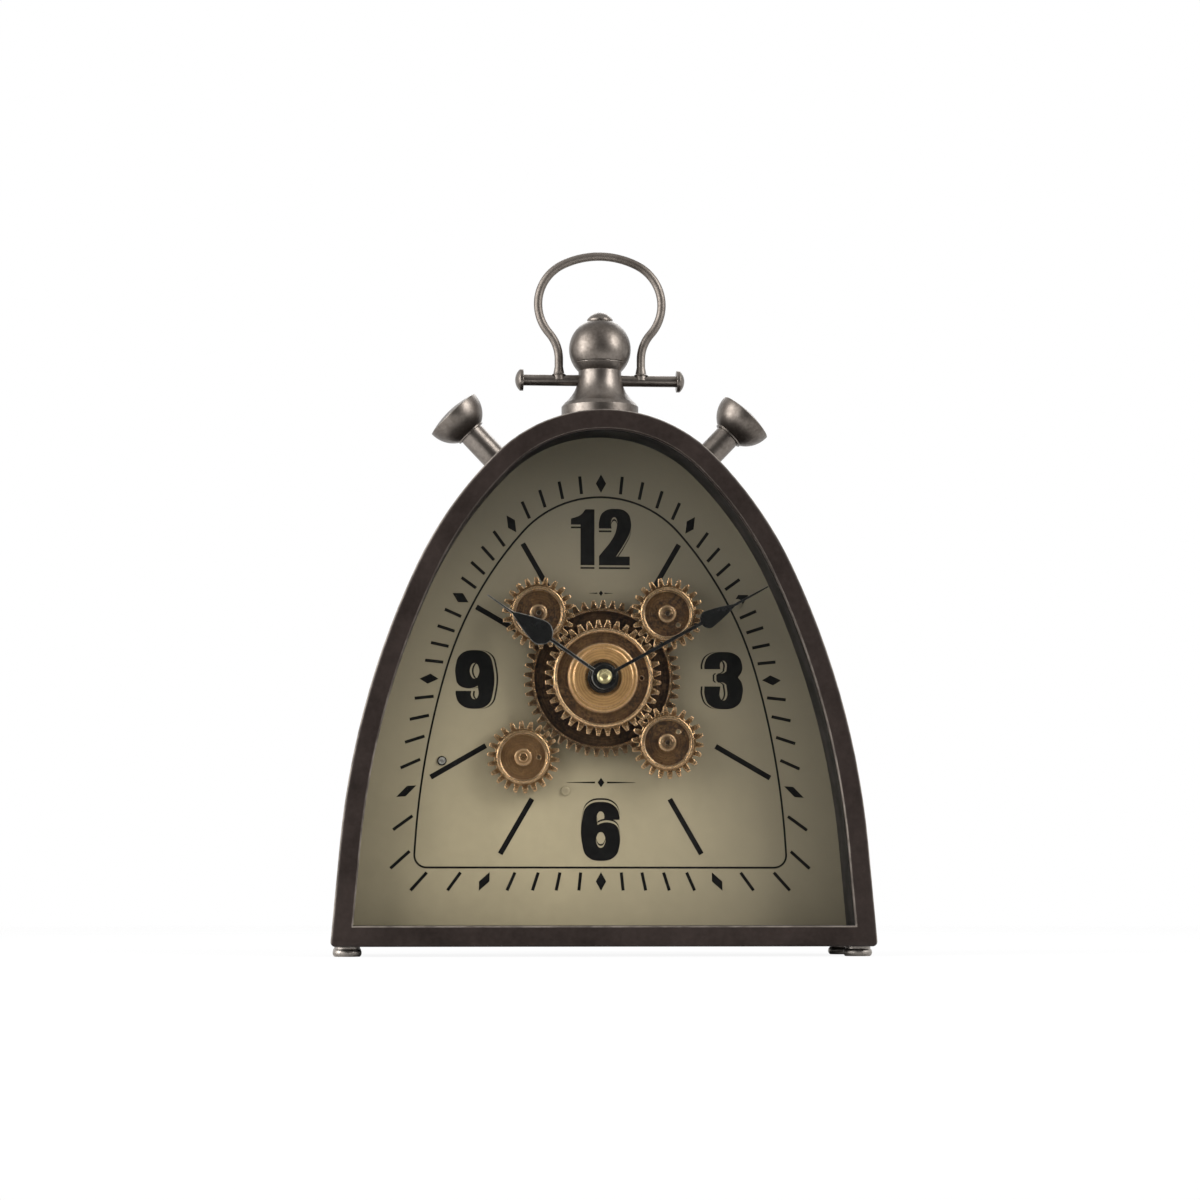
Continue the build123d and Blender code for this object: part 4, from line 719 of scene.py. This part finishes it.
def drawNumeral(name, numeral, layer):
    word, slip, ink, material = layer
    curve = bpy.data.curves.new(name + word, "CURVE")
    curve.dimensions = "2D"
    curve.fill_mode = "BOTH"
    curve.resolution_u = 8
    for shape in numeral["shapes"]:
        for contour in shape:
            spline = curve.splines.new("BEZIER")
            spline.bezier_points.add(len(contour) - 1)
            spline.use_cyclic_u = True
            for knot, (x, z, kind) in zip(spline.bezier_points, contour):
                knot.co = (x * mm, z * mm, 0)
                knot.handle_left_type = knot.handle_right_type = "AUTO" if kind == "s" else "VECTOR"
    drawn = bpy.data.objects.new(name + word, curve)
    bpy.context.scene.collection.objects.link(drawn)
    pickOnly(drawn)
    bpy.ops.object.convert(target="MESH")
    drawn = bpy.context.active_object
    drawn.rotation_euler = (radians(90), 0, 0)
    across, tall = numeral["size"]
    drawn.location = ((numeral["centre"][0] - across / 2 + numeral["drop"][0] * slip) * mm, dialPrint["face"],
                      (numeral["centre"][1] - tall / 2 + numeral["drop"][1] * slip) * mm)
    settle(drawn)
    thicken(drawn, ink)
    layPrint(drawn, material=material)


for name, numeral in numerals.items():
    for layer in numeralLayers:
        drawNumeral("numeral" + name.capitalize(), numeral, layer)
print("stage 4: numerals printed")

# two plain ornaments on the dial: a lozenge between two tapering rules
ornaments = {
    "smallOrnament": {"centre": (0.0, 223.0), "rule": 5.2, "gap": 0.9, "lozenge": (1.3, 1.7), "thick": 0.75},
    "wideOrnament": {"centre": (0.0, 106.0), "rule": 17.5, "gap": 1.6, "lozenge": (2.1, 2.9), "thick": 1.1},
}
for name, mark in ornaments.items():
    middle = Vector(mark["centre"]) * mm
    across, tall = (value * mm for value in mark["lozenge"])
    strokes = [inkQuad((middle + Vector((0, -tall)), middle + Vector((across, 0)), middle + Vector((0, tall)),
                        middle + Vector((-across, 0))), name)]
    for side in (-1, 1):
        near = middle + Vector((side * (across + mark["gap"] * mm), 0))
        far = near + Vector((side * mark["rule"] * mm, 0))
        half = Vector((0, mark["thick"] * mm / 2))
        corners = (near - half, far - half * 0.25, far + half * 0.25, near + half)
        strokes.append(inkQuad(corners if side > 0 else tuple(reversed(corners)), name))
    printed = joinAll(strokes, name)
    thicken(printed, dialPrint["ink"])
    layPrint(printed)


def spotsOf(name, apart=0.009):
    # middles of the separate solids in a node, seen from the front
    groups = []
    for vertex in nodes[name].data.vertices:
        for group in groups:
            if hypot(vertex.co.x - group[0].x, vertex.co.z - group[0].z) < apart:
                group.append(vertex.co)
                break
        else:
            groups.append([vertex.co])
    ends = [(min(g, key=lambda p: p.x).x, max(g, key=lambda p: p.x).x, min(g, key=lambda p: p.z).z, max(g, key=lambda p: p.z).z)
            for g in groups]
    return [Vector(((a + b) / 2, 0, (c + d) / 2)) for a, b, c, d in ends]


def pickFaces(obj, wanted):
    pickOnly(obj)
    bpy.ops.object.mode_set(mode="EDIT")
    bpy.ops.mesh.select_mode(type="FACE")
    bpy.ops.mesh.select_all(action="DESELECT")
    bpy.ops.object.mode_set(mode="OBJECT")
    for face in obj.data.polygons:
        face.select = wanted(face)
    bpy.ops.object.mode_set(mode="EDIT")


def turnPiece(name, look):
    # a disc on the Y axis, its front and back faces stepped by insets, each with its push
    deselectAll()
    bpy.ops.mesh.primitive_cylinder_add(vertices=look.get("sides", 32), radius=look["radius"] * mm, depth=look["depth"] * mm,
                                        location=(0, 0, 0), rotation=(radians(90), 0, 0))
    piece = bpy.context.active_object
    piece.name = name
    settle(piece)
    for way, steps in ((-1, look["front"]), (1, look.get("back", ()))):
        pickFaces(piece, lambda face: face.normal.y * way > 0.9)
        for thickness, push in steps:
            bpy.ops.mesh.inset(thickness=thickness * mm, depth=push * mm)
        bpy.ops.object.mode_set(mode="OBJECT")
    return piece


def smoothBy(obj, angle=40):
    pickOnly(obj)
    bpy.ops.object.shade_smooth_by_angle(angle=radians(angle))


def copyTo(obj, place, turn=0.0, flip=False):
    # a copy with its own mesh, turned on its own axis and set down
    deselectAll()
    twin = obj.copy()
    twin.data = obj.data.copy()
    bpy.context.scene.collection.objects.link(twin)
    twin.rotation_euler = (0, turn, pi if flip else 0.0)
    twin.location = place
    settle(twin)
    return twin


def finishPiece(obj, body, slot, *replaced, material=None):
    smoothBy(obj)
    dress(obj, material or finishes[slot])
    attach(obj, body)
    if replaced:
        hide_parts(*replaced)


# pan-head screws with a cross recess, and hollow rolled eyelets
panScrew = {"radius": 2.9, "depth": 0.7, "front": ((0.22, 0.32), (0.5, 0.26), (0.7, 0.1)), "back": ((1.4, 0.0), (0.0001, 5.0)),
            "slotLong": 3.1, "slotWide": 0.72, "slotDeep": 1.1, "slotRise": 0.4, "skirt": 2.3,
            "turns": (23, 37), "paintedFrom": -0.05}
rolledEyelet = {"radius": 3.6, "depth": 0.3, "front": ((0.4, 0.32), (0.5, 0.2), (0.7, 0.0), (0.35, -0.24), (0.5, -2.6)),
                "back": ((2.15, 0.0), (0.0001, 3.3))}


def crossRecess(screw, look):
    cutters = []
    for turn in (0, 90):
        deselectAll()
        middle = (0, -look["depth"] * mm / 2 - look["slotRise"] * mm, 0)
        bpy.ops.mesh.primitive_cube_add(size=1, location=middle, rotation=(0, radians(turn), 0))
        bar = bpy.context.active_object
        bar.scale = (look["slotLong"] * mm, look["slotDeep"] * mm, look["slotWide"] * mm)
        settle(bar)
        cutters.append(bar)
    for cutter in cutters:
        pickOnly(screw)
        cut = screw.modifiers.new("recess", "BOOLEAN")
        cut.operation = "DIFFERENCE"
        cut.object = cutter
        bpy.ops.object.modifier_apply(modifier="recess")
        bpy.data.objects.remove(cutter)


agedSteel = coatedMetal("agedSteel", screwLook)
brownSteel = coatedMetal("brownSteel", eyeletLook)
screw = turnPiece("panScrew", panScrew)
crossRecess(screw, panScrew)
eyelet = turnPiece("rolledEyelet", rolledEyelet)
hardware = {
    "dialFaceScrews": {"model": screw, "node": "dial_face_screws", "seat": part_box("dial_plate")[0].y, "flip": False},
    "backPanelScrews": {"model": screw, "node": "back_screws", "seat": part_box("back_panel")[1].y, "flip": True},
    "idlerEyelets": {"model": eyelet, "node": "idler_eyelets", "seat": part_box("idler_posts")[0].y, "flip": False},
}
firstTurn, nextTurn = panScrew["turns"]  # no two slots lie alike
for name, row in hardware.items():
    half = (panScrew if row["model"] is screw else rolledEyelet)["depth"] * mm / 2
    rows = []
    for index, spot in enumerate(spotsOf(row["node"])):
        spot.y = row["seat"] + (half if row["flip"] else -half)
        rows.append(copyTo(row["model"], spot, radians(firstTurn + nextTurn * index), row["flip"]))
    made = joinAll(rows, name)
    finishPiece(made, "case", "steel", row["node"], material=brownSteel if row["model"] is eyelet else agedSteel)
    if name == "dialFaceScrews":  # skirts blacked with the ink as a painted shade ring round each head, and all heads but the left one painted with the dial
        made.data.materials.append(dialInk)
        heads = spotsOf(row["node"])
        for face in made.data.polygons:
            reach = min(hypot(face.center.x - spot.x, face.center.z - spot.z) for spot in heads)
            face.material_index = int(reach > panScrew["skirt"] * mm)
        pickFaces(made, lambda face: face.center.x > panScrew["paintedFrom"])
        bpy.ops.mesh.separate(type="SELECTED")
        bpy.ops.object.mode_set(mode="OBJECT")
        painted = next(obj for obj in bpy.context.selected_objects if obj.name != name)
        painted.name = "paintedScrews"
        dress(painted, finishes["dial_paint"])
        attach(painted, "case")
        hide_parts(row["node"])
for model in (screw, eyelet):
    bpy.data.objects.remove(model)

# the nut that holds the minute hand, turned with a chamfer and a shallow dish
dishedNut = {"radius": 4.6, "depth": 2.1, "front": ((0.5, 0.5), (0.7, 0.0), (0.8, -0.75), (1.2, -0.2)), "rise": 0.5, "sides": 48}
nutBrass = coatedMetal("nutBrass", {**brassLook, "grime": 1.0, "grimeReach": 0.0014, "grimeColour": (0.060, 0.050, 0.022)})
nutLow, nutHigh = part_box("hand_nut")
nut = turnPiece("dishedNut", dishedNut)
nutSeat = nutLow.y + (dishedNut["rise"] + dishedNut["depth"] / 2) * mm
nut.location = ((nutLow.x + nutHigh.x) / 2, nutSeat, (nutLow.z + nutHigh.z) / 2)
settle(nut)
finishPiece(nut, "minute_hand", "brass", "hand_nut", material=nutBrass)

# dry cells: a wrap, and turned steel ends with the contact
cellShapes = {
    "Wrap": {"radius": 7.2, "depth": 47.4, "front": ((0.5, 0.35), (0.5, -0.2)), "back": ((0.5, 0.35), (0.5, -0.2)), "sides": 48},
    "Ends": {"radius": 6.4, "depth": 48.2, "front": ((0.5, 0.1), (2.4, 0.1), (0.75, 0.0), (0.15, 1.0), (0.3, 0.15)),
             "back": ((0.5, 0.1), (1.2, -0.2)), "sides": 48},
}
cellShift = 0.7  # the contact takes up this much more at its end
for name, node in (("driveCell", "drive_cell"), ("movementCell", "movement_cell")):
    low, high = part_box(node)
    middle = (low + high) / 2
    for word, slot in (("Wrap", "cell_wrap"), ("Ends", "steel")):
        part = turnPiece(name + word, cellShapes[word])
        part.rotation_euler = (0, 0, radians(90))
        part.location = (middle.x - cellShift * mm, middle.y, middle.z)
        settle(part)
        finishPiece(part, "case", slot, node)

# brazed feet of the bow: a small flared fillet round each leg where it meets its pivot
bowFoot = {"offset": 25.7, "wire": 2.72, "rise": 6.6, "collar": 0.4,
           "flares": ((0.9, 1.06), (0.8, 1.12), (0.7, 1.17), (0.6, 1.2))}
pivotLevel = (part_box("handle_pivot_left")[0].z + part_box("handle_pivot_left")[1].z) / 2
feet = []
for side in (-1, 1):
    deselectAll()
    bpy.ops.mesh.primitive_cylinder_add(vertices=32, radius=bowFoot["wire"] * mm, depth=bowFoot["collar"] * mm,
                                        location=(side * bowFoot["offset"] * mm, 0, pivotLevel + bowFoot["rise"] * mm))
    foot = bpy.context.active_object
    settle(foot)
    pickFaces(foot, lambda face: face.normal.z < -0.9)
    for drop, widen in bowFoot["flares"]:
        bpy.ops.mesh.extrude_region_move(TRANSFORM_OT_translate={"value": (0, 0, -drop * mm)})
        bpy.ops.transform.resize(value=(widen, widen, 1), center_override=(side * bowFoot["offset"] * mm, 0, 0))
    bpy.ops.object.mode_set(mode="OBJECT")
    feet.append(foot)
finishPiece(joinAll(feet, "bowFillets"), "handle", "pewter")
print("stage 5: screws, eyelets, hand nut, cells and fillets made")

stageLook = {
    "floor": 5.0, "edge": (0.9, 2.2), "white": 1.0, "ambient": 0.30, "roomFront": 0.03, "frontFade": (-0.9, -0.25),
    "floorGlow": 0.9, "lampAim": (0, 0, 0.2),
}


def setStage():
    deselectAll()
    bpy.ops.mesh.primitive_plane_add(size=stageLook["floor"], location=(0, 0, 0))
    floor = bpy.context.active_object
    floor.name = "studioFloor"
    material = bpy.data.materials.new("paleFloor")
    material.use_nodes = True
    tree = material.node_tree
    shader = tree.nodes["Principled BSDF"]
    shader.inputs["Base Color"].default_value = (0.92, 0.92, 0.92, 1.0)
    shader.inputs["Roughness"].default_value = 0.9
    glow = addNode(tree, "ShaderNodeEmission")
    path = addNode(tree, "ShaderNodeLightPath")
    mix = addNode(tree, "ShaderNodeMixShader")
    seen = mathNode(tree, "MAXIMUM", path.outputs["Is Camera Ray"], path.outputs["Is Transmission Ray"])
    feed(tree, mathNode(tree, "MULTIPLY", seen, stageLook["floorGlow"]), mix.inputs[0])
    feed(tree, shader.outputs[0], mix.inputs[1])
    feed(tree, glow.outputs[0], mix.inputs[2])
    reach = addNode(tree, "ShaderNodeVectorMath", operation="LENGTH")
    feed(tree, addNode(tree, "ShaderNodeTexCoord").outputs["Object"], reach.inputs[0])
    ending = addNode(tree, "ShaderNodeMixShader")
    fading = rampNode(tree, reach.outputs["Value"], 0.0, 1.0, *stageLook["edge"])  # the floor ends without a line
    feed(tree, fading, ending.inputs[0])
    feed(tree, mix.outputs[0], ending.inputs[1])
    feed(tree, addNode(tree, "ShaderNodeBsdfTransparent").outputs[0], ending.inputs[2])
    feed(tree, ending.outputs[0], tree.nodes["Material Output"].inputs["Surface"])
    dress(floor, material)

    world = bpy.data.worlds.new("studioWorld")
    bpy.context.scene.world = world
    world.use_nodes = True
    tree = world.node_tree
    back = tree.nodes["Background"]
    path = addNode(tree, "ShaderNodeLightPath")
    back.inputs["Color"].default_value = (1.0, 1.0, 1.0, 1.0)
    bounced = mathNode(tree, "MAXIMUM", path.outputs["Is Glossy Ray"], path.outputs["Is Transmission Ray"])
    toward = addNode(tree, "ShaderNodeSeparateXYZ")
    feed(tree, addNode(tree, "ShaderNodeTexCoord").outputs["Generated"], toward.inputs[0])
    mirrored = rampNode(tree, toward.outputs["Y"], stageLook["roomFront"], stageLook["white"], *stageLook["frontFade"])
    level = rampNode(tree, bounced, stageLook["ambient"], mirrored)
    feed(tree, rampNode(tree, path.outputs["Is Camera Ray"], level, stageLook["white"]), back.inputs["Strength"])


setStage()
lamps = {
    "keyRight": {"spot": (1.75, -1.3, 1.4), "size": (0.9, 1.8), "power": 53.0},
    "fillLeft": {"spot": (-1.5, -1.4, 0.85), "size": (1.0, 1.6), "power": 22.0},
    "sideLeft": {"spot": (-2.0, -0.6, 0.85), "size": (0.7, 2.0), "power": 50.0},
    "rimBack": {"spot": (0.3, 1.4, 1.3), "size": (1.4, 0.7), "power": 10.0},
}
for name, lamp in lamps.items():
    deselectAll()
    bpy.ops.object.light_add(type="AREA", location=lamp["spot"])
    light = bpy.context.active_object
    light.name = name
    light.data.shape = "RECTANGLE"
    light.data.size, light.data.size_y = lamp["size"]
    light.data.energy = lamp["power"]
    light.rotation_euler = (Vector(stageLook["lampAim"]) - light.location).to_track_quat("-Z", "Y").to_euler()

cameraLook = {"spot": (-0.1568, -2.048, 0.0368), "aim": (-0.0036, -0.048, 0.2153), "lens": 99.57, "sensor": 36.0}
deselectAll()
bpy.ops.object.camera_add(location=cameraLook["spot"])
camera = bpy.context.active_object
camera.data.lens = cameraLook["lens"]
camera.data.sensor_width = cameraLook["sensor"]
camera.rotation_euler = (Vector(cameraLook["aim"]) - camera.location).to_track_quat("-Z", "Y").to_euler()
bpy.context.scene.camera = camera
bpy.context.scene.view_settings.view_transform = "Standard"
print("stage 6: stage, lamps and camera set")
